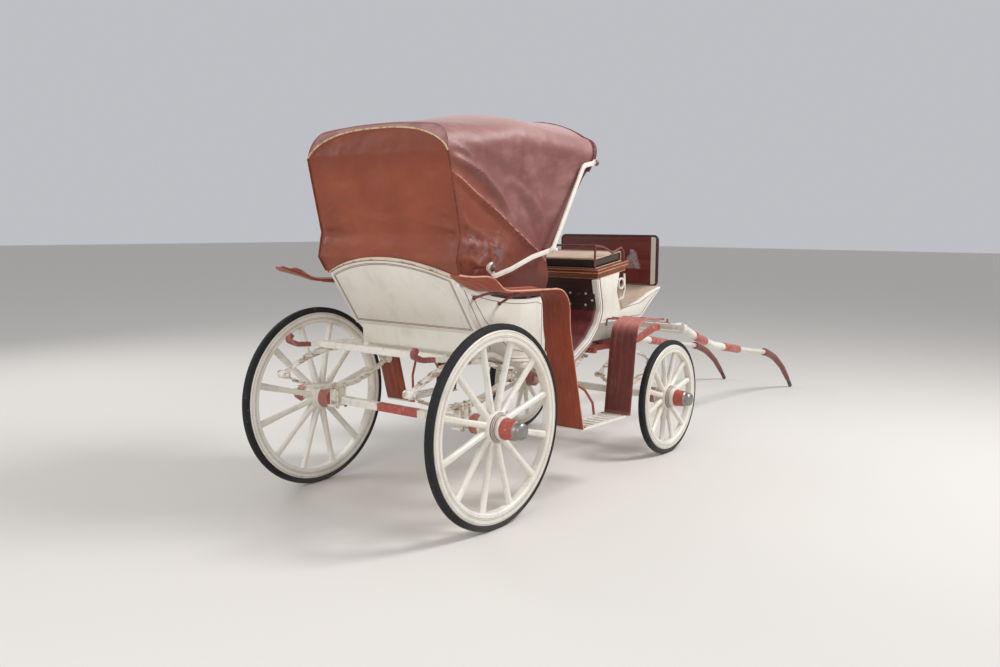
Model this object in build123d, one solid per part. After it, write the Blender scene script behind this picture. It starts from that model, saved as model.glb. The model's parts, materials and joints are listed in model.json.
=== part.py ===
from build123d import *
import os
from math import asin, atan2, cos, degrees, radians, sin, tan

# A light four-wheeled carriage with a folding hood, a driver's seat in front and a pair of shafts.
# Millimetres. X runs forward, Y to the left and Z up. While it is drawn, x = 0 is the rear axle.
# At the end every piece moves by frame_shift, so that the origin is on the ground, in the middle
# of the box that holds the whole carriage.

# Wheels: columns are radius, half track, tyre width, rim depth, nave inside, nave outside, band, cap.
wheel_table = {
    "rear": (540, 698, 50, 62, 150, 55, 84, 44),
    "front": (398, 637, 50, 54, 132, 62, 76, 42),
}
rear_wheel_r = wheel_table["rear"][0]
wheelbase = 2025
tyre_depth = 32
tyre_edge = 8
spoke_count = 12
spoke_dish = 22
nave_r = 84
nave_end_r = 62
nave_ring = 14
band_r = 55
cap_r = 45
axle_arm_r = 20
running_gap = 0.5
seat_gap = 0.3

# Shafts: they lie with their tips on the ground, and lift about their heels.
shaft_reach = 3192
shaft_half_gap = 350
shaft_tube_r = 29
shaft_slim_r = 22
shaft_wrap_r = 34
shaft_end_r = 18
shaft_heel_x = wheelbase + 715
shaft_heel_z = 812

# The body: half width over the side panels, board thickness and heights.
body_half = 450
board = 22
rocker_w = 46
floor_z = 762
rail_z = 1162
crest_z = 1393
corner_z = 1306
back_top_x = -86
back_low_x = 125
back_low_z = 992
back_overhang = 24
entrance_x = 770
bench_z = 1010
bench_front_x = 600

# The driver's end.
boot_z = 950
seat_rear_x = 1357
seat_front_x = 1738
seat_rear_z = 1235
seat_slope = 7.6
seat_frame_h = 62
driver_cushion_h = 70
boot_front_x = 1640
foot_front_x = 2225
foot_front_z = 1150
foot_half = body_half - 32
dash_top_z = 1515
dash_t = 14
dash_rod_r = 9
dash_x = foot_front_x + dash_rod_r + 0.3

# The hood turns about one axis across the body, at the elbows of its irons.
hood_pivot_x = 616
hood_pivot_z = 1443
hood_half_low = 520
leather_t = 6
bow_w = 26
leg_r = 7.5
leg_t = 9
leg_pitch = 19
arm_y = 600
arm_t = 10
arm_w = 27
knob_x = 45
knob_z = 1360
arm_top = (1045, 1952)

# Springs: columns are half length, rise, leaves, leaf thickness, width, across, middle from the axle.
spring_table = {
    "rear": (400, 102, 4, 7, 45, 484, -20),
    "front": (365, 106, 4, 6, 42, 300, 0),
}
axle_half = 22
rear_block_h = 52
front_block_h = 15
fore_bed_h = 60
plate_t = 12
plate_r = 290
plate_w = 55

# Wings over the wheels, and the steps that join them.
wing_in = 604
wing_out = 785
step_z = 418
wing_foot_z = step_z - 1
front_wing_in = 618


def extrude_y(face, y_low, y_high):
    """A face drawn in x and z, made solid between two values of y."""
    return extrude(Plane.XZ.offset(-y_high) * face, amount=y_high - y_low)


def pair_of(shape):
    """The piece and its mirror image, in one node."""
    return Compound(children=[shape, mirror(shape, about=Plane.XZ)])


def box_between(low, high):
    """A box from its lowest to its highest corner."""
    size = [b - a for a, b in zip(low, high)]
    middle = [(a + b) / 2 for a, b in zip(low, high)]
    return Pos(*middle) * Box(*size)


def cylinder_y(radius, y_low, y_high, x, z):
    """A round bar that lies across the carriage."""
    return Pos(x, (y_low + y_high) / 2, z) * Rot(90, 0, 0) * Cylinder(radius, y_high - y_low)


def rod(points, radius, bend=30):
    """A round bar bent through the points."""
    path = FilletPolyline(*points, radius=bend) if len(points) > 2 else Line(*points)
    return sweep(Plane(path ^ 0) * Circle(radius), path=path)


def strip(points, thickness, bend):
    """A band of even thickness along a path in x and z, as a face."""
    path = FilletPolyline(*points, radius=bend) if len(points) > 2 else Line(*points)
    return trace(path, thickness)


def outline(*points):
    """A face with straight sides through the points."""
    return make_face(Polyline(*points, close=True))


def cut_corners(width, depth, cut):
    """A rectangle with its corners cut off."""
    a, b = width / 2, depth / 2
    return outline((-a + cut, -b), (a - cut, -b), (a, -b + cut), (a, b - cut),
                   (a - cut, b), (-a + cut, b), (-a, b - cut), (-a, -b + cut))


# Wheels

def spoke(foot_r, tip_r):
    """One spoke along +Z: deep at the nave, slim in the middle, broad at the rim, and dished."""
    waist = foot_r + 0.45 * (tip_r - foot_r)
    sections = [(foot_r, 35, 44, -spoke_dish), (waist, 32, 30, -spoke_dish / 2), (tip_r, 42, 27, 0)]
    faces = [Pos(0, lean, r) * cut_corners(w, d, w / 4) for r, w, d, lean in sections]
    return loft(faces, ruled=True)


def wheel_set(axle):
    """Wood wheel, tyre and hub for the left side, standing at x = 0 with the rim at y = 0."""
    radius, half_track, width, rim, inside, outside, band, cap = wheel_table[axle]
    felloe_out = radius - tyre_depth
    felloe_in = felloe_out - rim
    half = width / 2
    bore = axle_arm_r + running_gap
    felloe = revolve(Pos((felloe_in + felloe_out) / 2, 0) * cut_corners(rim, width, 6), Axis.Y)
    nave = revolve(outline(
        (bore, -inside), (nave_end_r - 8, -inside), (nave_end_r - 8, -inside + nave_ring),
        (nave_end_r - 12, -inside + nave_ring), (nave_r - 6, -half - 10), (nave_r, -half), (nave_r, half - 10), (nave_r - 10, half - 2),
        (nave_end_r - 4, outside - nave_ring), (nave_end_r, outside - nave_ring), (nave_end_r, outside),
        (bore, outside)), Axis.Y)
    arm = spoke(nave_r - 12, felloe_in + 6)
    spokes = [Rot(0, (i + 0.5) * 360 / spoke_count, 0) * arm for i in range(spoke_count)]
    wood = nave.fuse(felloe, *spokes)
    tyre = revolve(outline(
        (felloe_out, -half), (radius, -half + tyre_edge), (radius, half - tyre_edge), (felloe_out, half)), Axis.Y)
    cap_in = outside + band
    hub = revolve(outline(
        (bore, outside), (band_r, outside), (band_r + 3, outside + 12), (band_r, outside + 24),
        (band_r - 3, cap_in - 6), (cap_r + 2, cap_in), (cap_r, cap_in + 6), (cap_r, cap_in + cap - 18),
        (cap_r - 7, cap_in + cap - 7), (cap_r - 20, cap_in + cap), (0, cap_in + cap), (0, cap_in + 20),
        (bore, cap_in + 20)), Axis.Y)
    return wood, tyre, hub


# Springs and axles

def leaf_pack(half_length, rise, leaves, leaf_t):
    """The upper half of an elliptic spring as a face: the long leaf with shorter ones on its back."""
    radius = (half_length ** 2 + rise ** 2) / (2 * rise)
    centre = (0, rise - radius)
    pack = None
    for i in range(leaves):
        spread = degrees(asin(half_length * (1 - 0.2 * i) / radius))
        low = CenterArc(centre, radius + i * leaf_t, 90 - spread, 2 * spread)
        high = CenterArc(centre, radius + (i + 1) * leaf_t, 90 - spread, 2 * spread)
        leaf = make_face([low, high, Line(low @ 0, high @ 0), Line(low @ 1, high @ 1)])
        pack = leaf if pack is None else pack + leaf
    return pack


def spring_levels(axle):
    """Heights of a spring: underside, eyes and top."""
    half_length, rise, leaves, leaf_t, width, across, middle = spring_table[axle]
    block_h = rear_block_h if axle == "rear" else front_block_h
    low = wheel_table[axle][0] + axle_half + block_h
    eye = low + leaves * leaf_t + rise
    return low, eye, 2 * eye - low


def elliptic_spring(axle):
    """A full elliptic spring: two packs of leaves, joined by a bolt at each end."""
    half_length, rise, leaves, leaf_t, width, across, middle = spring_table[axle]
    low, eye, top = spring_levels(axle)
    x0 = middle if axle == "rear" else wheelbase + middle
    upper = leaf_pack(half_length, rise, leaves, leaf_t)
    both = upper + mirror(upper, about=Plane.XZ)
    spring = extrude_y(Pos(x0, eye) * both, across - width / 2, across + width / 2)
    for end in (-1, 1):
        x_eye = x0 + end * half_length
        spring += cylinder_y(3.2 * leaf_t, across - width / 2 - 11, across + width / 2 + 11, x_eye, eye)
    return spring


def axle_beam(axle):
    """Axle bed with its arms, and the blocks that carry the springs."""
    radius, half_track, width, rim, inside, outside, band, cap = wheel_table[axle]
    half_length, rise, leaves, leaf_t, spring_w, across, middle = spring_table[axle]
    x0 = 0 if axle == "rear" else wheelbase
    low, eye, top = spring_levels(axle)
    shoulder = half_track - inside - seat_gap
    arm_end = half_track + outside + band + 15
    beam = box_between((x0 - axle_half, -shoulder, radius - axle_half),
                       (x0 + axle_half, shoulder, radius + axle_half))
    beam += cylinder_y(axle_arm_r, -arm_end, arm_end, x0, radius)
    for side in (-1, 1):
        y_in, y_out = side * across - spring_w / 2, side * across + spring_w / 2
        beam += box_between((x0 + middle - 45, y_in, radius + axle_half - 20),
                            (x0 + middle + 45, y_out, low))
        beam += box_between((x0 + middle - 60, y_in - 6, radius - axle_half - 10),
                            (x0 + middle + 60, y_out + 6, radius - axle_half))
    return beam - pair_of(elliptic_spring(axle))


rear_top = spring_levels("rear")[2]
front_top = spring_levels("front")[2]

# Body

back_tilt = degrees(atan2(back_low_x - back_top_x, corner_z - back_low_z))


def back_x(z):
    """Rear face of the sloping back panel at a height."""
    return back_top_x + (corner_z - z) * tan(radians(back_tilt))


def front_of_back(z):
    """Front face of the back panel at a height."""
    return back_x(z) + board / cos(radians(back_tilt))


def rear_panel(grow=0):
    """The back board with its crested top, leaning outward as it rises."""
    half = body_half + back_overhang
    slant = cos(radians(back_tilt))
    corner, crest = (corner_z - back_low_z) / slant, (crest_z - back_low_z) / slant
    crested = make_face([
        Line((-half, 0), (half, 0)),
        Line((half, 0), (half, corner)),
        ThreePointArc((half, corner), (0, crest), (-half, corner)),
        Line((-half, corner), (-half, 0)),
    ])
    if grow:
        crested = offset(crested, grow)
    lean = Plane(origin=(back_low_x, 0, back_low_z), x_dir=(0, 1, 0),
                 z_dir=(cos(radians(back_tilt)), 0, sin(radians(back_tilt))))
    return extrude(lean.offset(-grow) * crested, amount=board + 2 * grow)


rocker_line = [(158, 868), (330, 826), (590, 800), (850, 748), (1100, 748), (1272, 840),
               (1362, 925), (1416, 1035), (1361, 1269)]


def rocker():
    """The sill that sweeps under the entrance and up the front pillar to the driver's seat."""
    sill = extrude_y(strip(rocker_line, rocker_w, 90), body_half - board - 14, body_half + 8)
    return sill - on_seat(0, 200, seat_rear_x - 100, seat_rear_x + 100, 600)


def quarter_panel():
    """Side panel of the passenger body, from the back board to the entrance."""
    top = corner_z - 16
    low_x, low_z = rocker_line[0]
    rail = ThreePointArc((entrance_x - 20, rail_z), (434, rail_z + 5), (front_of_back(top), top))
    panel = make_face([
        rail,
        Line((front_of_back(top), top), (front_of_back(back_low_z), back_low_z)),
        Line((front_of_back(back_low_z), back_low_z), (low_x, low_z)),
        Line((low_x, low_z), rocker_line[1]),
        Line(rocker_line[1], rocker_line[2]),
        Line(rocker_line[2], (entrance_x + 12, 764)),
        Line((entrance_x + 12, 764), (entrance_x + 12, 950)),
        Line((entrance_x + 12, 950), (entrance_x - 20, rail_z)),
    ])
    return extrude_y(panel, body_half - board, body_half)


def seat_low(x):
    """Underside of the driver's seat frame."""
    return seat_rear_z + (x - seat_rear_x) * tan(radians(seat_slope))


foot_top = [(1665, 1012), (1927, 1071), (2068, 1119), (foot_front_x, foot_front_z)]
foot_low = [(foot_front_x - 20, 1128), (2072, 1038), (1947, boot_z), (1700, boot_z)]


def boot_side():
    """White side under the driver's seat, with the long tail of the footboard."""
    face = outline(
        (1376, seat_low(1376)), (boot_front_x, seat_low(boot_front_x)), (1610, 1150), *foot_top,
        *foot_low, (1376, boot_z), (1400, 1035))
    return extrude_y(face, body_half - board, body_half) - rocker()


inner_half = body_half - board


def body_floor():
    """Boards of the cabin floor, and of the bottom under the seat."""
    t = board
    line = [(back_low_x + t / 2, back_low_z + 18), (170, 880), (330, 850), (bench_front_x, 818),
            (bench_front_x + 60, floor_z + 4), (1090, floor_z + 4)]
    return extrude_y(strip(line, t, 14), -inner_half, inner_half) - pair_of(rocker()) - rear_panel()


def toe_board():
    """Sloping board in front of the passengers' feet, and the upright that carries the seat."""
    line = [(1104, floor_z + 28), (1250, 872), (1340, 962), (1378, 1060), (1378, seat_low(1378))]
    return extrude_y(strip(line, board, 60), -inner_half, inner_half) - pair_of(rocker()) - seat_frame()


def bench():
    """Riser and seat board of the passengers' bench."""
    riser = box_between((bench_front_x - 16, -inner_half, 850), (bench_front_x, inner_half, bench_z))
    seat = extrude_y(outline((front_of_back(bench_z) + 4, bench_z), (bench_front_x, bench_z),
                             (bench_front_x, bench_z + 16), (front_of_back(bench_z + 16) + 4, bench_z + 16)),
                     -inner_half, inner_half)
    return (riser + seat) - body_floor()


def passenger_cushion():
    low = bench_z + 16 + seat_gap
    face = outline((front_of_back(low) + 90, low), (bench_front_x + 20, low),
                   (bench_front_x + 20, low + 110), (front_of_back(low + 110) + 90, low + 110))
    return extrude_y(face, -inner_half + 4, inner_half - 4)


def passenger_back():
    low, high = bench_z + 16 + seat_gap, corner_z - 14
    face = outline((front_of_back(low) + 1, low), (front_of_back(low) + 88, low),
                   (front_of_back(high) + 76, high), (front_of_back(high) + 1, high))
    return extrude_y(face, -inner_half + 4, inner_half - 4)


# Driver's seat, footboard and dash

def on_seat(face_low, face_high, x_low, x_high, half):
    """A slab that lies on the slope of the driver's seat."""
    face = outline((x_low, seat_low(x_low) + face_low), (x_high, seat_low(x_high) + face_low),
                   (x_high, seat_low(x_high) + face_high), (x_low, seat_low(x_low) + face_high))
    return extrude_y(face, -half, half)


def seat_frame():
    """Wood frame of the driver's seat: three mouldings, one on another."""
    frame = on_seat(0, 18, seat_rear_x + 14, seat_front_x - 14, body_half - 8)
    frame += on_seat(18, 44, seat_rear_x + 4, seat_front_x - 4, body_half + 2)
    return frame + on_seat(44, seat_frame_h, seat_rear_x, seat_front_x, body_half + 6)


def driver_cushion():
    low = seat_frame_h + seat_gap
    return on_seat(low, low + driver_cushion_h, seat_rear_x + 22, seat_front_x - 30, body_half - 30)


rail_r = 7
rail_y = 424
rail_rear_x = seat_rear_x + 12


def seat_rail():
    """Iron rail round the back of the driver's seat, on stanchions."""
    base = seat_low(rail_rear_x) + seat_frame_h
    tail_x = seat_front_x - 8
    tail_z = seat_low(tail_x) + seat_frame_h
    side = [(rail_rear_x, rail_y, 1452), (1472, rail_y, 1442), (1587, rail_y, 1404),
            (1700, rail_y, 1438), (tail_x, rail_y, 1404), (tail_x, rail_y, tail_z)]
    wing = rod(side, rail_r, 24)
    rail = wing + mirror(wing, about=Plane.XZ)
    rail += rod([(rail_rear_x, -rail_y, 1452), (rail_rear_x, rail_y, 1452)], rail_r)
    for y in (-rail_y, 0, rail_y):
        rail += Pos(rail_rear_x, y, (base + 1452) / 2) * Cylinder(rail_r, 1452 - base)
        rail += Pos(rail_rear_x, y, 1452) * Sphere(rail_r + 3)
    return rail - seat_frame()


def scroll_bracket():
    """Iron scroll that holds the overhang of the seat from the side panel."""
    x = seat_front_x
    ring = trace(CenterArc((x - 70, 1198), 34, 0, 360), 10)
    face = ring + strip([(boot_front_x, 1092), (x - 48, 1100), (x - 22, 1160), (x - 32, 1262)], 12, 20)
    face += strip([(boot_front_x - 10, 1222), (x - 70, 1232)], 12, 20)
    return extrude_y(face, body_half - 10, body_half + 2) - seat_frame() - boot_side()


def footboard():
    """Floor of the driver's foot space, rising to the dash."""
    line = [(1400, boot_z + 14), (1900, boot_z + 14), (2040, 1042), (foot_front_x + 4, 1146)]
    return extrude_y(strip(line, board - 4, 60), -inner_half, inner_half) - pair_of(rocker()) - dash_frame()


def dashboard():
    board = RectangleRounded(2 * foot_half - 12, dash_top_z - foot_front_z - 12, 30)
    place = Plane(origin=(dash_x - dash_t / 2, 0, (dash_top_z + foot_front_z) / 2),
                  x_dir=(0, 1, 0), z_dir=(1, 0, 0))
    return extrude(place * board, amount=dash_t) - dash_frame()


# Wings, steps and their stays

# Columns: inner y, outer y, thickness. The edges are rolled and three ridges run along the top.
wing_bands = [(0, 181, 10), (0, 9, 16), (172, 181, 16), (43, 50, 14), (87, 94, 14), (131, 138, 14)]
rear_wing_line = [(-292, 1334), (-70, 1250), (532, 1238), (548, 1000), (625, 700), (705, 398)]
rear_wing_bends = [260, 80, 300, 300]
front_wing_line = [(1560, 985), (1405, 1008), (1285, 968), (1258, 860), (1203, 398)]
front_wing_bends = [150, 70, 150]


def wing(line, bends, y_in):
    """A wing as a bent board with rolled edges and ridges, cut level where it stands on the tread."""
    path = FilletPolyline(*line, radius=bends)
    body = None
    for low, high, thick in wing_bands:
        band = extrude_y(trace(path, thick), y_in + low, y_in + high)
        body = band if body is None else body + band
    return body & box_between((-400, y_in, wing_foot_z), (1700, y_in + 200, 1500))


def rear_wing():
    """The rear wing, cut to a leaf at its upturned end."""
    plan = make_face([
        ThreePointArc((-320, 652), (-210, 612), (-60, wing_in)),
        Line((-60, wing_in), (800, wing_in)),
        Line((800, wing_in), (800, wing_out)),
        Line((800, wing_out), (-40, wing_out)),
        ThreePointArc((-40, wing_out), (-190, 748), (-320, 652)),
    ])
    return wing(rear_wing_line, rear_wing_bends, wing_in) & extrude(Pos(0, 0, 300) * plan, amount=1200)


def front_wing():
    """The apron in front of the entrance, curling forward at its top."""
    return wing(front_wing_line, front_wing_bends, front_wing_in)


tread_ends = (690, 1216)
stay_r = 8
stay_y = wing_in + 4 - stay_r - 1


def step_tread():
    """Openwork tread, with its ends a little lower where the wings stand on them."""
    rear, front = tread_ends
    tread = box_between((rear, wing_in + 4, step_z - 10), (front, wing_out - 4, wing_foot_z))
    tread += box_between((rear + 20, wing_in + 4, step_z - 10), (front - 21, wing_out - 4, step_z))
    for i in range(7):
        x = 770 + i * 60
        tread -= box_between((x, wing_in + 26, 300), (x + 34, wing_out - 26, 500))
    return tread


def step_stays():
    """Two curved stays from the sill, each with a foot that carries the tread from below."""
    foot_z = step_z - 10
    stay_root = body_half - 14
    routes = [[(830, stay_root, 726), (905, stay_root + 104, 655), (1010, 594, 580), (1092, stay_y, 490),
               (1112, stay_y, foot_z - 6)],
              [(690, stay_root, 770), (702, stay_root + 94, 690), (745, stay_y, 580), (752, stay_y, foot_z - 6)]]
    stays = []
    for route in routes:
        x = route[-1][0]
        foot = box_between((x - stay_r, stay_y - stay_r, foot_z - 12), (x + stay_r, wing_in + 80, foot_z))
        stays.append((rod(route, stay_r, 50) + foot) - rocker())
    return stays


def wing_stays():
    """Iron rods that carry the wings from the body side."""
    y_rod = front_wing_in - 6 - seat_gap
    long_rod = rod([(1212, y_rod, 962), (1226, y_rod, 1006), (1377, y_rod, 992), (1973, y_rod, 945)], 6, 12)
    for x in (1560, 1880):
        z = 992 - (x - 1377) * 47 / 596
        long_rod += cylinder_y(4.5, body_half, y_rod - 2, x, z)
    rods = []
    for x, root_z in ((110, 1192), (330, 1148)):
        under = 1250 - 12 * (x + 70) / 602 - 7 - 7 - seat_gap
        stay = rod([(x, body_half + 8, root_z), (x, 540, (root_z + under) / 2 + 6), (x, 640, under),
                    (x, wing_out - 30, under)], 7, 40)
        rods.append(stay + cylinder_y(11, body_half, body_half + 10, x, root_z))
    return [*rods, long_rod]


# Rear carrier: curled irons on the springs, and the bar between them

def rear_carrier():
    handle_y = body_half + 26
    line = [(-368, 966), (-394, 934), (-330, 906), (-100, rear_top + 13), (60, rear_top + 13),
            (240, rear_top), (420, 800), (585, 766)]
    handle = extrude_y(strip(line, 26, 16), handle_y - 15, handle_y + 15)
    handle += box_between((535, body_half - 30, 752), (600, handle_y + 15, 790))
    handle = handle - rocker() - quarter_panel() - elliptic_spring("rear")
    bar = box_between((-168, -handle_y, 874), (-132, handle_y, 910))
    return handle + mirror(handle, about=Plane.XZ) + bar


# Fore carriage

bed_top = front_top + fore_bed_h
plate_low_z = bed_top
plate_high_z = bed_top + plate_t + running_gap
futchell_t = 42
futchell_y = 200
futchell_z = bed_top - futchell_t / 2
splinter_x = shaft_heel_x - 52
kingpin_r = 14
trace_stud_r = 8
trace_stud_y = 248
trace_stud_h = 28


def ring_plate(z):
    """One of the two rings that turn on each other, with a bar across to the kingpin."""
    ring = Cylinder(plate_r, plate_t) - Cylinder(plate_r - plate_w, plate_t)
    ring += Box(60, 2 * plate_r - plate_w, plate_t)
    ring -= Cylinder(kingpin_r + running_gap, plate_t)
    return Pos(wheelbase, 0, z + plate_t / 2) * ring


def boot_bearers():
    """Two blocks between the turning plate and the bottom of the footboard, and the kingpin."""
    low = plate_high_z + plate_t
    x = wheelbase
    face = outline((x - 535, boot_z + 10), (x - 535, boot_z - 26), (x - 295, low), (x + 275, low),
                   (x + 275, low + 24), (x + 105, low + 60), (2060, 1045), (1930, boot_z + 10))
    block = extrude_y(face, 150, 192) - footboard()
    cross = box_between((wheelbase - 40, -150, low), (wheelbase + 40, 150, low + 50))
    pin = Pos(wheelbase, 0, (front_top + low) / 2) * Cylinder(kingpin_r, low - front_top)
    return block + mirror(block, about=Plane.XZ) + cross + pin


def fore_bed():
    bed = box_between((wheelbase - 45, -345, front_top), (wheelbase + 45, 345, bed_top))
    return bed - futchells() - Pos(wheelbase, 0, 0) * Cylinder(kingpin_r + running_gap, 4 * bed_top)


def futchells():
    """Two long timbers of the fore carriage, with the bar behind."""
    tail_x = wheelbase - 400
    line = [(tail_x, futchell_z), (wheelbase + 315, futchell_z), (splinter_x - 108, shaft_heel_z - 18),
            (splinter_x - 22, shaft_heel_z - 10)]
    side = extrude_y(strip(line, futchell_t, 200), futchell_y - 18, futchell_y + 18)
    bar = box_between((tail_x - 25, -plate_r, futchell_z - 18), (tail_x + 7, plate_r, futchell_z + 18))
    return side + mirror(side, about=Plane.XZ) + bar - splinter_bar()


def splinter_bar():
    """Bar across the front of the fore carriage, with the lugs that hold the heels of the shafts."""
    bar = box_between((splinter_x - 22, -430, shaft_heel_z - 24), (splinter_x + 22, 430, shaft_heel_z + 20))
    for side in (-1, 1):
        for edge in (-1, 1):
            y = side * shaft_half_gap + edge * 30
            lug = extrude_y(outline((splinter_x + 20, shaft_heel_z - 18), (shaft_heel_x, shaft_heel_z - 18),
                                    (shaft_heel_x + 16, shaft_heel_z), (shaft_heel_x, shaft_heel_z + 18),
                                    (splinter_x + 20, shaft_heel_z + 18)), y - 5, y + 5)
            bar += lug
        y = side * shaft_half_gap
        bar += cylinder_y(9, y - 42, y + 42, shaft_heel_x, shaft_heel_z)
    return bar


def swingletree():
    """The bar that the traces pull on, turning on a bolt in front of the splinter bar."""
    x = splinter_x + 22
    bar = box_between((x + 8, -265, shaft_heel_z - 4), (x + 38, 265, shaft_heel_z + 22))
    bar += box_between((x, -24, shaft_heel_z - 14), (x + 44, 24, shaft_heel_z + 28))
    for y in (-trace_stud_y, trace_stud_y):
        bar += Pos(x + 23, y, shaft_heel_z + 22 + trace_stud_h / 2) * Cylinder(trace_stud_r, trace_stud_h)
    return bar - splinter_bar()


# Shafts

shaft_tip_x = wheelbase + shaft_reach - shaft_end_r
# Columns: share of the run from heel to tip, share of the drop that is left.
shaft_shares = [(0, 1), (0.0244, 0.977), (0.136, 0.845), (0.253, 0.738), (0.394, 0.661), (0.5925, 0.563),
                (0.719, 0.51), (0.813, 0.418), (0.903, 0.263), (0.9756, 0.0718), (1, 0)]


def shaft_point(share):
    """Point of the shaft's centre line at a share of its run."""
    for (s0, h0), (s1, h1) in zip(shaft_shares, shaft_shares[1:]):
        if share <= s1:
            height = h0 + (h1 - h0) * (share - s0) / (s1 - s0)
            break
    return (shaft_heel_x + share * (shaft_tip_x - shaft_heel_x), shaft_half_gap,
            shaft_end_r + height * (shaft_heel_z - shaft_end_r))


def shaft_tube(low, high, radius):
    """A stretch of the shaft between two shares of its run."""
    inner = [s for s, h in shaft_shares if low + 0.004 < s < high - 0.004]
    return rod([shaft_point(s) for s in (low, *inner, high)], radius, 60)


# Columns: from share, to share, radius.
shaft_stretches = [(0.003, 0.04, shaft_end_r), (0.02, 0.36, shaft_tube_r), (0.105, 0.187, shaft_wrap_r),
                   (0.334, 0.46, shaft_wrap_r), (0.45, 0.72, shaft_slim_r), (0.705, 1, shaft_end_r)]


def shafts():
    """Both shafts with the bar that joins them near the heels."""
    shaft = None
    for low, high, radius in shaft_stretches:
        tube = shaft_tube(low, high, radius)
        shaft = tube if shaft is None else shaft + tube
    shaft += Pos(*shaft_point(1)) * Sphere(shaft_end_r)
    y = shaft_half_gap
    shaft += cylinder_y(27, y - 24, y + 24, shaft_heel_x, shaft_heel_z)
    shaft -= cylinder_y(9 + running_gap, y - 60, y + 60, shaft_heel_x, shaft_heel_z)
    x, y, z = shaft_point(0.075)
    return shaft + mirror(shaft, about=Plane.XZ) + cylinder_y(17, -y, y, x, z)


# Hood

# Sections of the leather across the carriage. Columns: x, half width, and heights of the foot of the
# rounded corner, its middle, its end on the roof, and the crown.
hood_stations = [(-200, 525, 1946, 2036, 2084, 2104), (430, 565, 2020, 2110, 2165, 2208),
                 (1210, 604, 1958, 2048, 2108, 2238)]
hood_skirt_z = 1150
hood_edge_low = (655, 1400)
hood_edge_high = (1135, 2140)
front_bow_ahead = 18


def hood_profile(station, inset):
    """The hood's arch across the carriage at one station, set in from the outside."""
    x, half, foot, bend, end, crown = station
    low, half = hood_half_low - inset, half - inset
    foot, bend, end, crown = foot - inset, bend - inset, end - inset, crown - inset
    right = ThreePointArc((half, foot), (half - 30, bend), (half - 125, end))
    top = ThreePointArc((half - 125, end), (0, crown), (125 - half, end))
    left = ThreePointArc((125 - half, end), (30 - half, bend), (-half, foot))
    return Plane(origin=(x, 0, 0), x_dir=(0, 1, 0), z_dir=(1, 0, 0)) * make_face([
        Line((-low, hood_skirt_z), (low, hood_skirt_z)),
        Line((low, hood_skirt_z), (half, foot)),
        right, top, left,
        Line((-half, foot), (-low, hood_skirt_z)),
    ])


def hood_form(inset):
    """The whole room under the hood, before its ends are cut."""
    return loft([hood_profile(s, inset) for s in hood_stations], ruled=True)


def hood_side(inset, front, skirt):
    """The hood seen from the side, with its rear wall set in and its front edge moved ahead."""
    edge_run = (hood_edge_high[0] - hood_edge_low[0]) / (hood_edge_high[1] - hood_edge_low[1])
    hem_x = front_of_back(corner_z - 4) + 3
    top = 2300
    return outline(
        (-118 + inset, crest_z - 1), (-88 + inset, 1533), (-186 + inset, 1968), (-110 + inset, 2104),
        (-6 + inset, top), (hood_edge_low[0] + (top - hood_edge_low[1]) * edge_run + front, top),
        (hood_edge_low[0] + front, hood_edge_low[1]), (685 + front, 1320), (745 + front, rail_z + 10 - skirt),
        (434, rail_z + 14 - skirt), (148, 1232 - skirt), (hem_x + inset, corner_z - 4 - skirt),
        (hem_x + inset, corner_z))


def hood_leather():
    """The leather as one shell, open in front and below, with holes for the pins of the irons."""
    outer = hood_form(0) & extrude_y(hood_side(0, 0, 0), -700, 700)
    inner = hood_form(leather_t) & extrude_y(hood_side(leather_t, 300, 300), -700, 700)
    shell = outer - inner - rear_panel(2)
    for x, z in ((hood_pivot_x, hood_pivot_z), (knob_x, knob_z)):
        shell -= cylinder_y(13, -700, 700, x, z)
    return shell


def bow_arch(x):
    """The hoop of a bow, close under the leather, as deep as it is wide."""
    slab = box_between((x - bow_w / 2, -700, 1900), (x + bow_w / 2, 700, 2300))
    form = hood_form(leather_t + seat_gap) - hood_form(leather_t + seat_gap + bow_w)
    return form & slab


def bow_leg(y_pivot, y_top, x_top, z_top):
    """One leg from its eye on the pivot up into the hoop."""
    leg = rod([(hood_pivot_x, y_pivot, hood_pivot_z), (x_top, y_top, z_top)], leg_r)
    leg += cylinder_y(19, y_pivot - leg_t / 2, y_pivot + leg_t / 2, hood_pivot_x, hood_pivot_z)
    return leg - cylinder_y(8 + running_gap, 300, 700, hood_pivot_x, hood_pivot_z)


rear_leg_y = 466
bow_inset = leather_t + seat_gap + bow_w / 2


def mid_bow():
    leg = bow_leg(rear_leg_y + leg_pitch, hood_stations[1][1] - bow_inset - 4, hood_stations[1][0], 1960)
    return bow_arch(hood_stations[1][0]) + leg + mirror(leg, about=Plane.XZ)


def rear_bow():
    """The rear bow fills the rounded edge between the roof and the back of the leather."""
    near, far = leather_t + seat_gap, leather_t + seat_gap + bow_w
    wall = hood_side(near, 400, 0) - hood_side(far, 400, 0)
    slab = extrude_y(wall & outline((-250, 1900), (60, 1900), (60, 2250), (-250, 2250)), -700, 700)
    arch = (hood_form(near) - hood_form(far)) & slab
    leg = bow_leg(rear_leg_y, hood_stations[0][1] - bow_inset - 1, -156, 1925)
    return arch + leg + mirror(leg, about=Plane.XZ)


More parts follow.
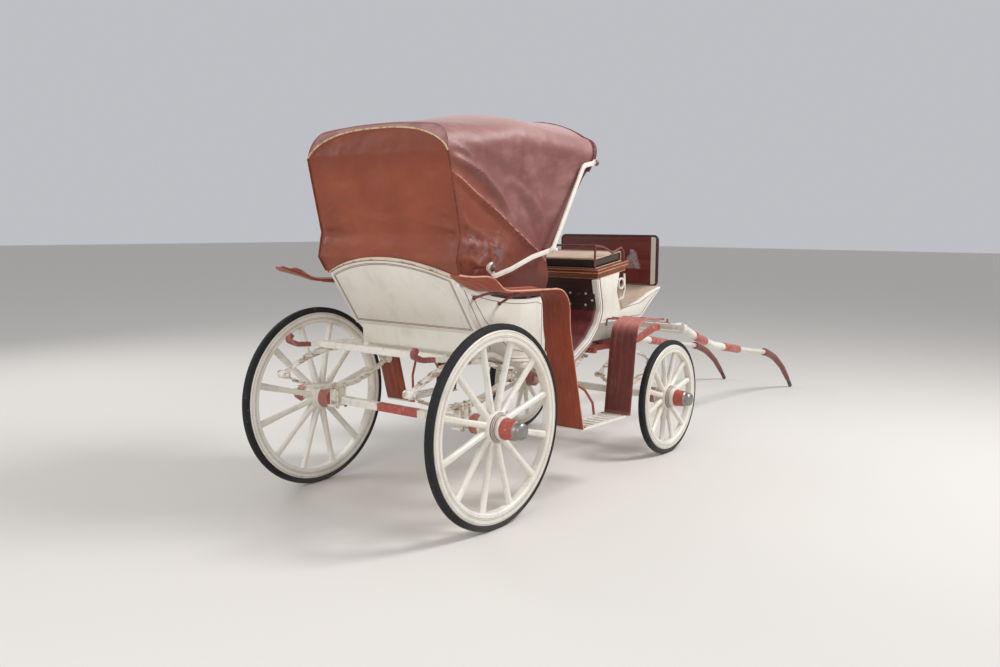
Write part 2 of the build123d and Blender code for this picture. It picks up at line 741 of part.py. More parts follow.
def front_bow():
    """The front bow stands just ahead of the leather's edge, leaning as that edge does."""
    edge_run = (hood_edge_high[0] - hood_edge_low[0]) / (hood_edge_high[1] - hood_edge_low[1])
    x0 = hood_edge_low[0] + front_bow_ahead + 2
    slab = extrude_y(outline(
        (x0 + 500 * edge_run - 2, 1900), (x0 + 500 * edge_run + bow_w, 1900),
        (x0 + 900 * edge_run + bow_w, 2300), (x0 + 900 * edge_run - 2, 2300)), -700, 700)
    arch = (hood_form(0) - hood_form(bow_w)) & slab
    x_top = x0 + 530 * edge_run + bow_w / 2
    leg = bow_leg(rear_leg_y + 2 * leg_pitch, 576, x_top, hood_edge_low[1] + 530)
    return arch + leg + mirror(leg, about=Plane.XZ)


def hood_arms():
    """Outer irons from the elbow to the front bow, one each side, bent forward at the top."""
    y0 = arm_y + arm_t / 2 + seat_gap
    face = strip([(hood_pivot_x, hood_pivot_z), (arm_top[0] - 118, arm_top[1] - 22), arm_top], arm_w, 55)
    arm = extrude_y(face, y0, y0 + arm_t)
    for x, z in ((hood_pivot_x, hood_pivot_z), arm_top):
        arm += cylinder_y(20, y0, y0 + arm_t, x, z)
    arm += cylinder_y(9, 570, y0 + arm_t + 10, *arm_top)
    arm -= cylinder_y(8 + running_gap, 500, 700, hood_pivot_x, hood_pivot_z)
    return arm - front_bow()


def hood_props():
    """Post and pivot pin of the bows, and the outer iron that braces it from the corner."""
    panel = quarter_panel()
    post = extrude_y(strip([(hood_pivot_x - 6, rail_z - 10), (hood_pivot_x, hood_pivot_z)], 42, 0), 430, 448)
    post += cylinder_y(21, 430, 448, hood_pivot_x, hood_pivot_z)
    post += extrude_y(strip([(62, 1235), (knob_x, knob_z)], 34, 0), 430, 448)
    post += cylinder_y(17, 430, 448, knob_x, knob_z)
    post -= panel
    curl = [(hood_pivot_x, hood_pivot_z), (430, 1407), (240, 1347), (knob_x + 52, knob_z - 45),
            (knob_x, knob_z)]
    path = FilletPolyline(*curl, radius=[300, 300, 24])
    arm = extrude_y(trace(path, arm_w), arm_y - arm_t / 2, arm_y + arm_t / 2)
    for x, z in ((hood_pivot_x, hood_pivot_z), (knob_x, knob_z)):
        arm += cylinder_y(18, arm_y - arm_t / 2, arm_y + arm_t / 2, x, z)
        arm += cylinder_y(8, 440, arm_y + 3 * arm_t, x, z)
    return post + arm


def dash_frame():
    """Iron loop round the dash."""
    y, low, high = foot_half - 6, foot_front_z + 6, dash_top_z - 6
    return rod([(dash_x, 0, low), (dash_x, -y, low), (dash_x, -y, high), (dash_x, y, high), (dash_x, y, low),
                (dash_x, 0.01, low)], dash_rod_r, 30)


pieces = {}
pieces["rear_panel"] = rear_panel()
pieces["quarter_panels"] = pair_of(quarter_panel() - rocker())
pieces["rockers"] = pair_of(rocker())
pieces["boot_sides"] = pair_of(boot_side())
pieces["body_floor"] = body_floor()
pieces["toe_board"] = toe_board()
pieces["bench"] = bench()
pieces["passenger_cushion"] = passenger_cushion()
pieces["passenger_back"] = passenger_back()
pieces["seat_frame"] = seat_frame()
pieces["driver_cushion"] = driver_cushion()
pieces["seat_rail"] = seat_rail()
pieces["scroll_brackets"] = pair_of(scroll_bracket())
pieces["footboard"] = footboard()
pieces["dashboard"] = dashboard()
pieces["dash_frame"] = dash_frame()
pieces["rear_wings"] = pair_of(rear_wing())
pieces["front_wings"] = pair_of(front_wing())
pieces["steps"] = pair_of(step_tread())
pieces["step_stays"] = Compound(children=[pair_of(stay) for stay in step_stays()])
pieces["wing_stays"] = Compound(children=[pair_of(stay) for stay in wing_stays()])
pieces["rear_carrier"] = rear_carrier()
pieces["hood_props"] = pair_of(hood_props())
pieces["hood_leather"] = hood_leather()
pieces["hood_front_bow"] = front_bow()
pieces["hood_arms"] = pair_of(hood_arms())
pieces["hood_mid_bow"] = mid_bow()
pieces["hood_rear_bow"] = rear_bow()
pieces["boot_bearers"] = boot_bearers()
pieces["upper_plate"] = ring_plate(plate_high_z)
pieces["lower_plate"] = ring_plate(plate_low_z)
pieces["fore_bed"] = fore_bed()
pieces["futchells"] = futchells()
pieces["splinter_bar"] = splinter_bar()
pieces["swingletree"] = swingletree()
pieces["shafts"] = shafts()
pieces["rear_axle"] = axle_beam("rear")
pieces["rear_springs"] = pair_of(elliptic_spring("rear"))
pieces["front_axle"] = axle_beam("front")
pieces["front_springs"] = pair_of(elliptic_spring("front"))

corners = {"rear": 0, "front": wheelbase}
for axle, x_axle in corners.items():
    for part_name, part in zip(("wheel", "tyre", "hub"), wheel_set(axle)):
        left = Pos(x_axle, wheel_table[axle][1], wheel_table[axle][0]) * part
        pieces[f"{part_name}_{axle}_left"] = left
        pieces[f"{part_name}_{axle}_right"] = mirror(left, about=Plane.XZ)

frame_shift = rear_wheel_r - (rear_wheel_r + wheelbase + shaft_reach) / 2
os.makedirs("parts", exist_ok=True)
for name, piece in pieces.items():
    moved = [Pos(frame_shift, 0, 0) * solid for solid in piece.solids()]
    export_step(moved[0] if len(moved) == 1 else Compound(children=moved), f"parts/{name}.step")
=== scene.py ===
# %% [markdown]
# # A horse drawn carriage, dressed in Blender
#
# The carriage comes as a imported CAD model: every piece of wood and iron at its real size and place.
# This notebook gives it the looks of the real one: worn leather, white paint with thin lines, dusty
# tyres, stuffed seats and small fittings. Nothing of the CAD model is moved. A piece is either kept
# with a better finish, or a finer piece takes its place.

import json
import math

import bpy
from mathutils import Matrix, Vector, noise
from mathutils.bvhtree import BVHTree


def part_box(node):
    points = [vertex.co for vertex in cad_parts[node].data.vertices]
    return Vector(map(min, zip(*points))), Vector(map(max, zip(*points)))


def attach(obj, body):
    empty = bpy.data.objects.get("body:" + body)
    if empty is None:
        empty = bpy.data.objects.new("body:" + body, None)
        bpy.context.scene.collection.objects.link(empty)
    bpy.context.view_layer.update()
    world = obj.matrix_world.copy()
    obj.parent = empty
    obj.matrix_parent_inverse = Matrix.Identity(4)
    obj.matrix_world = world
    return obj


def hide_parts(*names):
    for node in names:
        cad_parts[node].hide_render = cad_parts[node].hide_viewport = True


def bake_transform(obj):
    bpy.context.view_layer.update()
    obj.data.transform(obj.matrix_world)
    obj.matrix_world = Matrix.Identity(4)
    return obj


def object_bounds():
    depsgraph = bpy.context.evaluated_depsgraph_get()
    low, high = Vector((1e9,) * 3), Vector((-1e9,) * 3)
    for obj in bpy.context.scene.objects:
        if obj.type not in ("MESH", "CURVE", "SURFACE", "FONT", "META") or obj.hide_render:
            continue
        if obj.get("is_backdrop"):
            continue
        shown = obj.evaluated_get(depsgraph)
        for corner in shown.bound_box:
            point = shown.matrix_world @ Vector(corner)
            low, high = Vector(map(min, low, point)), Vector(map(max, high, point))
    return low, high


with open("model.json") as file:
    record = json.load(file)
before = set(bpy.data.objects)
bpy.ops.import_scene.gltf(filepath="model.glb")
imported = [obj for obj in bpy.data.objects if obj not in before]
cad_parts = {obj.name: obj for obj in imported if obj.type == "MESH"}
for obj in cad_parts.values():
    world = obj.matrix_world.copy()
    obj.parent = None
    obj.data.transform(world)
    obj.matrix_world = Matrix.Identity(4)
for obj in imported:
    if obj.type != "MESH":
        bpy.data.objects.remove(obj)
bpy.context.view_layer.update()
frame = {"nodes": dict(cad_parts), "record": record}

# %% [markdown]
# ## Places
#
# The drawing of the carriage measures lengths from the rear axle, so places here do too. The rear
# tyre's box gives the axle's place in the frame. A place is written as x forward of the rear axle,
# y to the left and z above the ground, all in metres.

# %% Find the axles and name the driving places
rear_low, rear_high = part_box("tyre_rear_left")
front_low, front_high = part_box("tyre_front_left")
axle_x = (rear_low.x + rear_high.x) / 2
wheelbase = (front_low.x + front_high.x) / 2 - axle_x
wheel_z = {"rear": (rear_low.z + rear_high.z) / 2, "front": (front_low.z + front_high.z) / 2}
wheel_r = {"rear": (rear_high.z - rear_low.z) / 2, "front": (front_high.z - front_low.z) / 2}
wheel_x = {"rear": 0, "front": wheelbase}
half_track = {"rear": 0.698, "front": 0.637}
elbow = (0.616, 1.443)
body_half = 0.450


def at(x, y, z):
    """A place measured from the rear axle, in the row frame."""
    return Vector((axle_x + x, y, z))


body_of_node = {node: body for body, nodes in frame["record"]["behaviour"]["bodies"].items() for node in nodes}
slot_of_node = {part["node"]: part["material_slot"] for part in frame["record"]["subparts"]}
print("wheelbase", round(wheelbase, 3), "wheels", wheel_r)

# %% [markdown]
# ## Working by hand in code
#
# Blender's operators act on whatever is selected, so every step starts from a clean selection. A
# finished piece keeps its object at the origin, with its place in its mesh, so that patterns and
# poses agree on where things are.


# %% Small helpers for selecting, copying and joining
def pick(*pieces):
    """Select these pieces alone, the first one active."""
    bpy.ops.object.select_all(action="DESELECT")
    for piece in pieces:
        piece.select_set(True)
    bpy.context.view_layer.objects.active = pieces[0]


def smooth(piece, angle=50):
    """Shade the piece's gentle edges smooth."""
    pick(piece)
    bpy.ops.object.shade_smooth_by_angle(angle=math.radians(angle))


def modifier(piece, name, kind, **settings):
    added = piece.modifiers.new(name, kind)
    for setting, value in settings.items():
        setattr(added, setting, value)


def apply_modifiers(piece):
    pick(piece)
    for added in list(piece.modifiers):
        bpy.ops.object.modifier_apply(modifier=added.name)
    return piece


def copy_of(piece):
    """A copy with a mesh of its own."""
    twin = piece.copy()
    twin.data = piece.data.copy()
    bpy.context.scene.collection.objects.link(twin)
    return twin


def own_copy(node, name):
    """A copy of a CAD piece, free of its parent and its tags."""
    piece = copy_of(frame["nodes"][node])
    for key in list(piece.keys()):
        del piece[key]
    piece.parent = None
    piece.name = piece.data.name = name
    return piece


def edit(piece, *steps):
    """Run operators on the whole mesh in edit mode."""
    pick(piece)
    bpy.ops.object.mode_set(mode="EDIT")
    bpy.ops.mesh.select_all(action="SELECT")
    for step in steps:
        step()
    bpy.ops.object.mode_set(mode="OBJECT")


def outward():
    bpy.ops.mesh.normals_make_consistent(inside=False)


def merge():
    bpy.ops.mesh.remove_doubles(threshold=0.00002)


def wear(piece, finish, body=None, node=None):
    """Give the piece a finish, hide the CAD piece that it stands for, and parent it to the body that it rides on."""
    piece.data.materials.clear()
    piece.data.materials.append(finishes[finish])
    if node:
        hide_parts(node)
    if body:
        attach(piece, body)


def dress(pieces, name, finish, body=None):
    """Join several meshes as one piece, settle it at the origin, and let it wear its finish."""
    pick(*pieces)
    if len(pieces) > 1:
        bpy.ops.object.join()
    whole = pieces[0]
    whole.name = whole.data.name = name
    bpy.ops.object.transform_apply(location=True, rotation=True, scale=True)
    smooth(whole)
    wear(whole, finish, body)
    return whole


# %% [markdown]
# ## A short way to write materials
#
# A material is a small sum: paint, plus dirt where a noise is high, plus rust where another is. The
# first class wraps a node's socket so that such a sum can be written as an expression, and every
# operation adds a Math node. The second lays one coat of colour over another.


# %% Sockets that can be added and multiplied
def sum_of(operation, turned=False):
    """A method for two terms; turned takes them the other way round."""
    def method(self, other):
        return self.math(operation, *((other, self) if turned else (self, other)))
    return method


class Value:
    """A socket in a material's node tree."""

    def __init__(self, mat, socket):
        self.mat, self.socket = mat, socket

    def math(self, operation, *terms):
        return self.mat.make("ShaderNodeMath", {"operation": operation}, terms)

    def __abs__(self):
        return self.math("ABSOLUTE", self)

    __add__, __radd__ = sum_of("ADD"), sum_of("ADD", True)
    __sub__, __rsub__ = sum_of("SUBTRACT"), sum_of("SUBTRACT", True)
    __mul__, __rmul__ = sum_of("MULTIPLY"), sum_of("MULTIPLY", True)
    __lt__, __gt__ = sum_of("LESS_THAN"), sum_of("GREATER_THAN")


class Finish:
    """A material while it is being made, with the colour of its coats so far."""

    def __init__(self, name, colour=None, **shader):
        self.material = bpy.data.materials.new(name)
        self.material.use_nodes = True
        self.tree = self.material.node_tree
        self.shader = self.tree.nodes["Principled BSDF"]
        self.colour = colour
        self.set(**shader)
        self.place = self.make("ShaderNodeTexCoord", {}, (), "Object")
        split = self.make("ShaderNodeSeparateXYZ", {}, (self.place,)).socket.node
        self.x, self.y, self.z = (Value(self, socket) for socket in split.outputs)

    def feed(self, socket, value):
        if isinstance(value, Value):
            self.tree.links.new(value.socket, socket)
        else:
            socket.default_value = value

    def set(self, **shader):
        """Feed sockets of the shader by name, as in coat_weight=0.3."""
        for name, value in shader.items():
            self.feed(self.shader.inputs[name.replace("_", " ").title().replace("Ior", "IOR")], value)

    def make(self, kind, settings, inputs=(), output=0):
        """Any node: its settings are set first, then the values or links of its sockets."""
        node = self.tree.nodes.new(kind)
        for setting, value in settings.items():
            setattr(node, setting, value)
        for where, value in inputs.items() if isinstance(inputs, dict) else enumerate(inputs):
            self.feed(node.inputs[where], value)
        return Value(self, node.outputs[output])

    def pattern(self, kind, settings, stretch, inputs):
        """A texture node on the piece; stretch scales its pattern along each axis."""
        where = self.place
        if stretch:
            where = self.make("ShaderNodeMapping", {}, {"Vector": where, "Scale": stretch})
        return self.make(kind, settings, {"Vector": where, **inputs})

    def noise(self, scale, detail=4, rough=0.55, stretch=None, twist=0.0):
        return self.pattern("ShaderNodeTexNoise", {}, stretch, {
            "Scale": scale, "Detail": detail, "Roughness": rough, "Distortion": twist})

    def cells(self, scale, feature="F1", stretch=None):
        return self.pattern("ShaderNodeTexVoronoi", {"feature": feature}, stretch, {"Scale": scale})

    def fade(self, value, low, high):
        """0 below low, 1 above high, and smooth between; low may be the greater."""
        return self.make("ShaderNodeMapRange", {"interpolation_type": "SMOOTHSTEP"}, (value, low, high))

    def patches(self, low, high, *kind, **more):
        """Where a noise of this kind is high."""
        return self.fade(self.noise(*kind, **more), low, high)

    def span(self, value, start, rise, fall, end):
        """1 from rise to fall, and 0 before start and after end."""
        return self.fade(value, start, rise) * self.fade(value, end, fall)

    def mix(self, share, first, second):
        """One colour turning into another."""
        return self.make("ShaderNodeMix", {"data_type": "RGBA"}, {0: share, 6: first, 7: second}, 2)

    def coat(self, share, colour):
        """Lay a colour over the coats so far."""
        self.colour = self.mix(share, self.colour, colour)

    def done(self, roughness, height=None, depth=None, **others):
        self.set(base_color=self.colour, roughness=roughness, **others)
        if height is not None:
            self.set(normal=self.make("ShaderNodeBump", {}, {"Strength": 1.0, "Distance": depth, "Height": height}))
        return self.material


def tone(red, green, blue):
    """A colour as a painter's card gives it, from 0 to 255, made linear for the shader."""
    linear = [(c / 12.92 if c <= 0.04045 else ((c + 0.055) / 1.055) ** 2.4)
              for c in (red / 255, green / 255, blue / 255)]
    return (*linear, 1.0)


# %% [markdown]
# ## Finishes
#
# White oil paint on wood and iron: creamy, a little uneven from the brush, grey with dust where
# water runs, chipped to rust on the irons. The leathers are the strongest colours. The hood was one
# colour once; the sun has turned the roof and the sides mauve, and the shaded back is still rust.
# Where a colour changes along a piece, as at the hood's main crease, the finish reads the place.

# %% Name the tones
cream = tone(234, 230, 220)
cream_warm = tone(224, 217, 203)
paint_grey = tone(164, 157, 146)
rust_brown = tone(128, 84, 52)
line_maroon = tone(108, 56, 58)
leather_rust = tone(150, 76, 50)
leather_deep = tone(104, 46, 34)
leather_mauve = tone(130, 82, 78)
leather_pink = tone(176, 132, 128)
leather_scuff = tone(180, 152, 146)
wing_rust = tone(150, 66, 40)
wing_maroon = tone(112, 50, 44)
wing_pink = tone(190, 122, 110)
red_paint = tone(168, 78, 66)
tyre_black = tone(20, 20, 22)
tyre_dust = tone(120, 117, 112)
wood_dark = tone(98, 44, 30)
wood_light = tone(140, 72, 44)
seat_brown = tone(58, 42, 36)
seat_beige = tone(206, 180, 156)
iron_dark = tone(52, 36, 34)
steel_grey = tone(150, 148, 144)


# %% White paint, with an optional pattern of lines under its dirt and a detail over it
def white_paint(name, rust, dirt, lines=None, over=None):
    mat = Finish(name, cream, coat_weight=0.15, coat_roughness=0.35)
    grime = mat.patches(0.5, 0.78, 7, 8, 0.68, twist=0.4) * dirt
    chipped = mat.noise(34, 9, 0.72)
    chips = mat.fade(chipped, 0.63, 0.67) * rust
    mat.coat(mat.patches(0.35, 0.7, 2.4, 5) * 0.8, cream_warm)
    if lines:
        mat.coat(lines(mat) * 0.8, line_maroon)
    mat.coat(grime, paint_grey)
    mat.coat(mat.patches(0.52, 0.8, 14, 5, 0.6, stretch=(1, 1, 0.16)) * (dirt * 0.5), tone(150, 136, 116))
    mat.coat(mat.fade(chipped, 0.54, 0.66) * (rust * 0.6), tone(190, 160, 122))
    mat.coat(chips, rust_brown)
    if over:
        over(mat)
    height = mat.noise(90, 3, 0.5) * 0.35 + mat.noise(18, 4, 0.5) * 0.5 - chips * 0.8
    return mat.done(0.42 + grime * 0.35 + chips * 0.3, height, 0.0006)


def about_hub(mat, axle):
    """x and z from the wheel's own centre, and the square of the distance."""
    x, z = mat.x - (axle_x + wheel_x[axle]), mat.z - wheel_z[axle]
    return x, z, x * x + z * z


def wheel_lines(mat, axle):
    """Rings on the felloe and the nave, and lines along the twelve spokes."""
    x, z, square = about_hub(mat, axle)
    reach = square.math("SQRT", square)
    felloe = wheel_r[axle] - 0.032
    inner = felloe - (0.062 if axle == "rear" else 0.054)
    outside = abs(mat.y) > half_track[axle] + 0.016
    marks = [abs(reach - ring) < 0.0011 for ring in (inner + 0.024, inner + 0.031, felloe - 0.010)]
    marks += [(abs(reach - ring) < 0.0016) * outside for ring in (0.0800, 0.0735, 0.0668)]
    turn, half_step = x.math("ARCTAN2", z, x), math.radians(30) / 2
    local = turn.math("WRAP", turn, half_step, -half_step)
    across = abs(reach * local.math("SINE", local))
    stripe = (abs(across - 0.0105) < 0.0011) * (reach < inner - 0.004) * (reach > 0.12)
    total = sum(marks[1:], marks[0])
    return total.math("MINIMUM", total + stripe * 0.7, 1.0)


def nave_band(mat, axle):
    """The inner end of each nave is painted red."""
    near = about_hub(mat, axle)[2] < 0.0064
    red = mat.mix(mat.patches(0.5, 0.66, 40, 7, 0.7), red_paint, rust_brown)
    mat.coat(near * (abs(mat.y) < half_track[axle] - 0.082) * 0.9, red)


def prop_pins(mat):
    """The props' inner pins are maroon; only the arms outside them are white."""
    mat.coat(mat.fade(abs(mat.y), 0.604, 0.600), wing_maroon)


def shaft_ends(mat):
    """Bare red-brown wood where the shafts curve down, and the leather wraps."""
    x, worn = mat.x, mat.noise(26, 6, 0.65)
    first = mat.span(x, axle_x + 2.985, axle_x + 3.000, axle_x + 3.190, axle_x + 3.206)
    second = mat.span(x, axle_x + 3.545, axle_x + 3.560, axle_x + 3.875, axle_x + 3.890)
    mat.coat(first + second, mat.mix(mat.fade(worn, 0.4, 0.65), red_paint, wing_pink))
    bare = mat.mix(mat.fade(worn, 0.42, 0.62), tone(128, 70, 54), wing_maroon)
    mat.coat(mat.fade(x + worn * 0.10, axle_x + 4.46, axle_x + 4.60), bare)
    tip = mat.mix(mat.fade(worn, 0.45, 0.6), iron_dark, tone(96, 84, 80))
    mat.coat(mat.fade(x, axle_x + 5.02, axle_x + 5.03), tip)


def carrier_ends(mat):
    """The curled rear ends of the carrier beam are painted red."""
    red = mat.mix(mat.patches(0.5, 0.66, 40, 7, 0.7), tone(134, 66, 64), wing_pink)
    mat.coat(mat.fade(mat.x, axle_x - 0.236, axle_x - 0.244), red)


def axle_band(mat):
    """A red band round the middle of the rear axle."""
    red = mat.mix(mat.patches(0.5, 0.7, 30, 7, 0.7), red_paint, wing_pink)
    mat.coat(mat.fade(abs(mat.y), 0.158, 0.154), red)


def spring_rust(mat):
    """Rust creeps over the springs' leaves, most of all at their edges."""
    creep = mat.noise(20, 8, 0.7, stretch=(0.5, 1, 1.6))
    edge = mat.fade(abs(mat.cells(70, "DISTANCE_TO_EDGE", stretch=(0.1, 1, 2.2))), 0.18, 0.02)
    mat.coat(mat.fade(creep, 0.44, 0.60) * 0.75, tone(168, 140, 108))
    mat.coat(mat.fade(creep, 0.50, 0.60) * edge * 0.9, tone(112, 72, 48))


# %% The hood's leather
# The seam between the roof's leather and the curtain arches from its foot by its rise, over half its width.
seam_foot, seam_rise, seam_half = 1.925, 0.163, 0.532


def hood_leather_finish(name, curtain):
    mat = Finish(name, leather_rust, specular_ior_level=0.42)
    x, z = mat.x, mat.z
    wave = mat.noise(6, 4, 0.6, stretch=(1, 0.5, 1.6))
    scuff = mat.patches(0.58, 0.72, 15, 9, 0.72, stretch=(1, 0.7, 2.0), twist=0.8)
    low = mat.fade(z, 1.66, 1.42)
    mat.coat(mat.patches(0.3, 0.72, 3.2, 6, 0.6) * 0.40, leather_deep)
    mat.coat(mat.fade(wave, 0.52, 0.72) * 0.30, tone(170, 96, 68))
    faded = 0
    if curtain:
        reach = abs(mat.y) * (1 / seam_half)
        seam = seam_foot + seam_rise * reach.math("POWER", 1 - reach.math("POWER", reach, 2.6), 1 / 1.7)
        sides = mat.fade(abs(mat.y), 0.30, 0.48)
        mat.coat(low * (0.02 + 0.40 * scuff + 0.06 * sides), leather_scuff)
        # Painted shade: the curtain's top is darkened, against the light that its forward-leaning top catches.
        mat.coat(mat.fade(z, 1.80, 1.98) * 0.4, leather_deep)
        mat.coat(sides * 0.18, leather_deep)
        over_seam = mat.mix(mat.fade(wave, 0.4, 0.7), leather_pink, leather_mauve)
        mat.coat(mat.fade(z - seam, -0.001, 0.001), over_seam)
    else:
        (x0, z0), (x1, z1) = main_crease[0], main_crease[-1]
        run = (Vector((x1, z1)) - Vector((x0, z0))).normalized()
        wobble = (mat.noise(8, 4, 0.6) - 0.5) * 0.02
        above = (z - z0) * run.x - (x - (axle_x + x0)) * run.y + wobble
        faded = mat.fade(above, -0.008, 0.020)
        # Painted shadow: a band just above the main crease, towards the rear, stays dark rust where the fold above
        # shades it.
        keeps = mat.fade(above, 0.100, 0.040) * mat.fade(x, axle_x + 0.34, axle_x + 0.05) * 0.75
        # The roof is painted paler and pinker towards its crown: partly sun-faded leather, partly a painted
        # highlight.
        high = mat.fade(wave, 0.45, 0.72) * 0.35 + mat.fade(z, 1.98, 2.14) * 0.6
        mauve = mat.mix(high, leather_mauve, leather_pink)
        mauve = mat.mix(mat.fade(z, 2.08, 2.20) * 0.6, mauve, tone(204, 178, 174))
        front = mat.fade(x, axle_x + 0.30, axle_x + 0.60) * mat.fade(z, 1.72, 1.45)
        mauve = mat.mix(front * 0.6, mauve, tone(118, 60, 58))
        mat.coat(0.35, leather_deep)
        mat.coat(mat.fade(x, axle_x + 0.22, axle_x + 0.50) * 0.65, tone(104, 46, 40))
        mat.coat(faded * (1 - keeps), mauve)
        # A pale line along the main crease: partly rubbed wear, partly a painted highlight on the fold.
        worn_and_highlit_crease = mat.fade(abs(above), 0.007, 0.002) * mat.patches(0.40, 0.56, 30, 5, 0.7)
        mat.coat(worn_and_highlit_crease * 0.6, tone(206, 150, 140))
        grey = mat.span(x, axle_x - 0.12, axle_x + 0.02, axle_x + 0.20, axle_x + 0.34)
        grey = grey * mat.fade(z, 1.58, 1.48) * mat.fade(z, 1.30, 1.40)
        mat.coat(grey * mat.patches(0.44, 0.62, 12, 8, 0.7, twist=1.0) * 0.75, tone(146, 120, 122))
        mat.coat(scuff * (0.14 + low * 0.30), leather_scuff)
    mat.coat(mat.patches(0.68, 0.74, 60, 4, 0.6, stretch=(0.25, 1, 1)) * 0.25, leather_scuff)
    wrinkle = mat.noise(26, 5, 0.6, stretch=(1, 1, 0.5), twist=0.6)
    height = mat.cells(420) * 0.25 + wrinkle * 1.1 + mat.noise(7, 3, 0.5) * 1.6
    return mat.done(0.48 + scuff * 0.2 - faded * 0.05, height, 0.0014)


def edge_leather_finish(name, main, worn, share):
    """Bound edges and piping, rubbed bare in places."""
    mat = Finish(name, main, specular_ior_level=0.4)
    mat.coat(mat.patches(0.48, 0.60, 28, 8, 0.72) * share, worn)
    return mat.done(0.55, mat.noise(120, 4, 0.6), 0.0006)


# %% Upholstery, wood, rubber and metals
def leather_finish(name, main, deep, worn, streak=(1, 1, 1), scuffs=0.5, over=None):
    """Upholstery or wing leather; streak stretches its folds along the piece."""
    mat = Finish(name, main, specular_ior_level=0.45)
    folds = mat.noise(30, 5, 0.6, stretch=streak, twist=0.3)
    rub = mat.fade(folds, 0.6, 0.74)
    mat.coat(mat.patches(0.32, 0.7, 4, 6, 0.6) * 0.5, deep)
    mat.coat(mat.fade(folds, 0.5, 0.32) * 0.40, deep)
    if over:
        over(mat)
    mat.coat(rub * scuffs, worn)
    mat.coat(mat.patches(0.66, 0.72, 48, 8, 0.7) * scuffs * 0.6, worn)
    return mat.done(0.42 + rub * 0.15, mat.cells(420) * 0.25 + folds * 1.8, 0.0012)


def seat_faces(mat):
    """The driver's cushion is pale on top, partly sun-faded leather and partly painted sunlight, and dark at its back
    and sides.
    """
    height = mat.z - (mat.x - (axle_x + seat_rear[0])) * seat_rise - (seat_rear[1] + 0.062)
    mat.coat(mat.fade(abs(mat.y), 0.404, 0.410) * 0.55, tone(112, 100, 84))
    # The pale beige top: sun-fading together with painted sunlight.
    bleached_and_sunlit = mat.mix(mat.patches(0.35, 0.7, 5, 6, 0.6), seat_beige, tone(188, 150, 128))
    mat.coat(mat.fade(height, 0.056, 0.064), bleached_and_sunlit)


def wing_light(mat):
    """The flat tops of the rear wings are painted paler than their drops, as painted sunlight."""
    mat.coat(mat.fade(mat.z, 1.15, 1.26) * 0.35, tone(178, 92, 66))


def front_wing_light(mat):
    # Painted sunlight: the front wing's top is painted pinker and paler.
    mat.coat(mat.fade(mat.z, 0.90, 0.985) * 0.8, wing_pink)
    mat.coat(mat.fade(mat.z, 0.445, 0.425) * 0.5, tone(170, 120, 100))


def wood_finish(name, dark, light, along_grain=(0.12, 1, 1), over=None):
    mat = Finish(name, dark, coat_weight=0.3, coat_roughness=0.25)
    grain = mat.noise(26, 8, 0.62, stretch=along_grain, twist=1.2)
    fine_grain = mat.noise(140, 3, 0.5, stretch=along_grain)
    worn = mat.patches(0.6, 0.74, 11, 6, 0.66)
    mat.coat(mat.fade(grain, 0.36, 0.66) * 0.8, light)
    mat.coat(worn * 0.25, tone(176, 130, 98))
    if over:
        over(mat)
    return mat.done(0.38 + worn * 0.25, grain * 0.6 + fine_grain * 0.5, 0.0005)


def toe_cover(mat):
    """Maroon leather covers the sloping lower part of the toe board."""
    cover = mat.mix(mat.patches(0.35, 0.7, 9, 6, 0.6), tone(112, 44, 42), tone(78, 28, 28))
    mat.coat(mat.fade(mat.z, 1.035, 1.030), cover)


def dash_marks(mat):
    """A peeled grey-pink patch, a worn foot, and a cream strip down the right end of the dash."""
    y, z = mat.y, mat.z
    ragged = (mat.noise(24, 8, 0.75) - 0.5) * 0.11
    rear_face = mat.fade(mat.x, axle_x + 2.2295, axle_x + 2.2285)
    spread = abs(y + 0.212) - 0.020 - (1.412 - z) * 0.36
    patch = mat.fade(spread + ragged, 0.004, -0.004) * mat.fade(z, 1.268, 1.276) * mat.fade(z, 1.414, 1.408)
    stain = mat.fade(abs(y + 0.215) + ragged * 0.5, 0.052, 0.044) * mat.fade(z, 1.276, 1.268)
    stain = stain * mat.fade(z + ragged, 1.182, 1.192)
    strip = mat.span(y, -0.362, -0.3635, -0.3995, -0.401)
    peeled = mat.mix(mat.patches(0.4, 0.62, 60, 6, 0.7), tone(186, 166, 166), tone(132, 102, 104))
    mat.coat(patch * rear_face * 0.92, peeled)
    mat.coat(stain * rear_face * 0.8, tone(128, 50, 50))
    mat.coat(strip * rear_face, mat.mix(mat.fade(ragged, 0, 0.02), cream_warm, tone(226, 206, 190)))


def tyre_finish():
    mat = Finish("dusty tyre rubber", tyre_black)
    dust = mat.patches(0.46, 0.74, 9, 9, 0.75, twist=0.5)
    scrape = mat.patches(0.63, 0.71, 46, 6, 0.7)
    mat.coat(dust * 0.12 + mat.fade(mat.z, 0.14, 0.0) * 0.25, tyre_dust)
    mat.coat(scrape * 0.45, tone(150, 146, 140))
    return mat.done(0.80 + dust * 0.1, mat.noise(120, 4, 0.6) + scrape * 0.8, 0.0010)


def metal_finish(name, main, worn, metallic=0.0, roughness=0.45, wear_share=0.6):
    mat = Finish(name, main, metallic=metallic)
    patch = mat.patches(0.52, 0.7, 24, 8, 0.7)
    mat.coat(patch * wear_share, worn)
    return mat.done(roughness + patch * 0.2, mat.noise(150, 4, 0.6) + patch * 0.4, 0.0005)


def hub_finish():
    """Red-painted band, and a dull steel cap outside it."""
    mat = Finish("red band and steel cap")
    front = mat.x > axle_x + wheelbase / 2
    cap = mat.fade(abs(mat.y) - (0.837 - front * 0.062), -0.0065, -0.0055)
    chips = mat.patches(0.58, 0.64, 40, 8, 0.72)
    red = mat.mix(chips * 0.55, red_paint, tone(206, 178, 160))
    mat.colour = mat.mix(cap, red, mat.mix(chips * 0.6, steel_grey, tone(96, 84, 72)))
    return mat.done(0.5 - cap * 0.12, mat.noise(80, 4, 0.6), 0.0006, metallic=cap * 0.8)


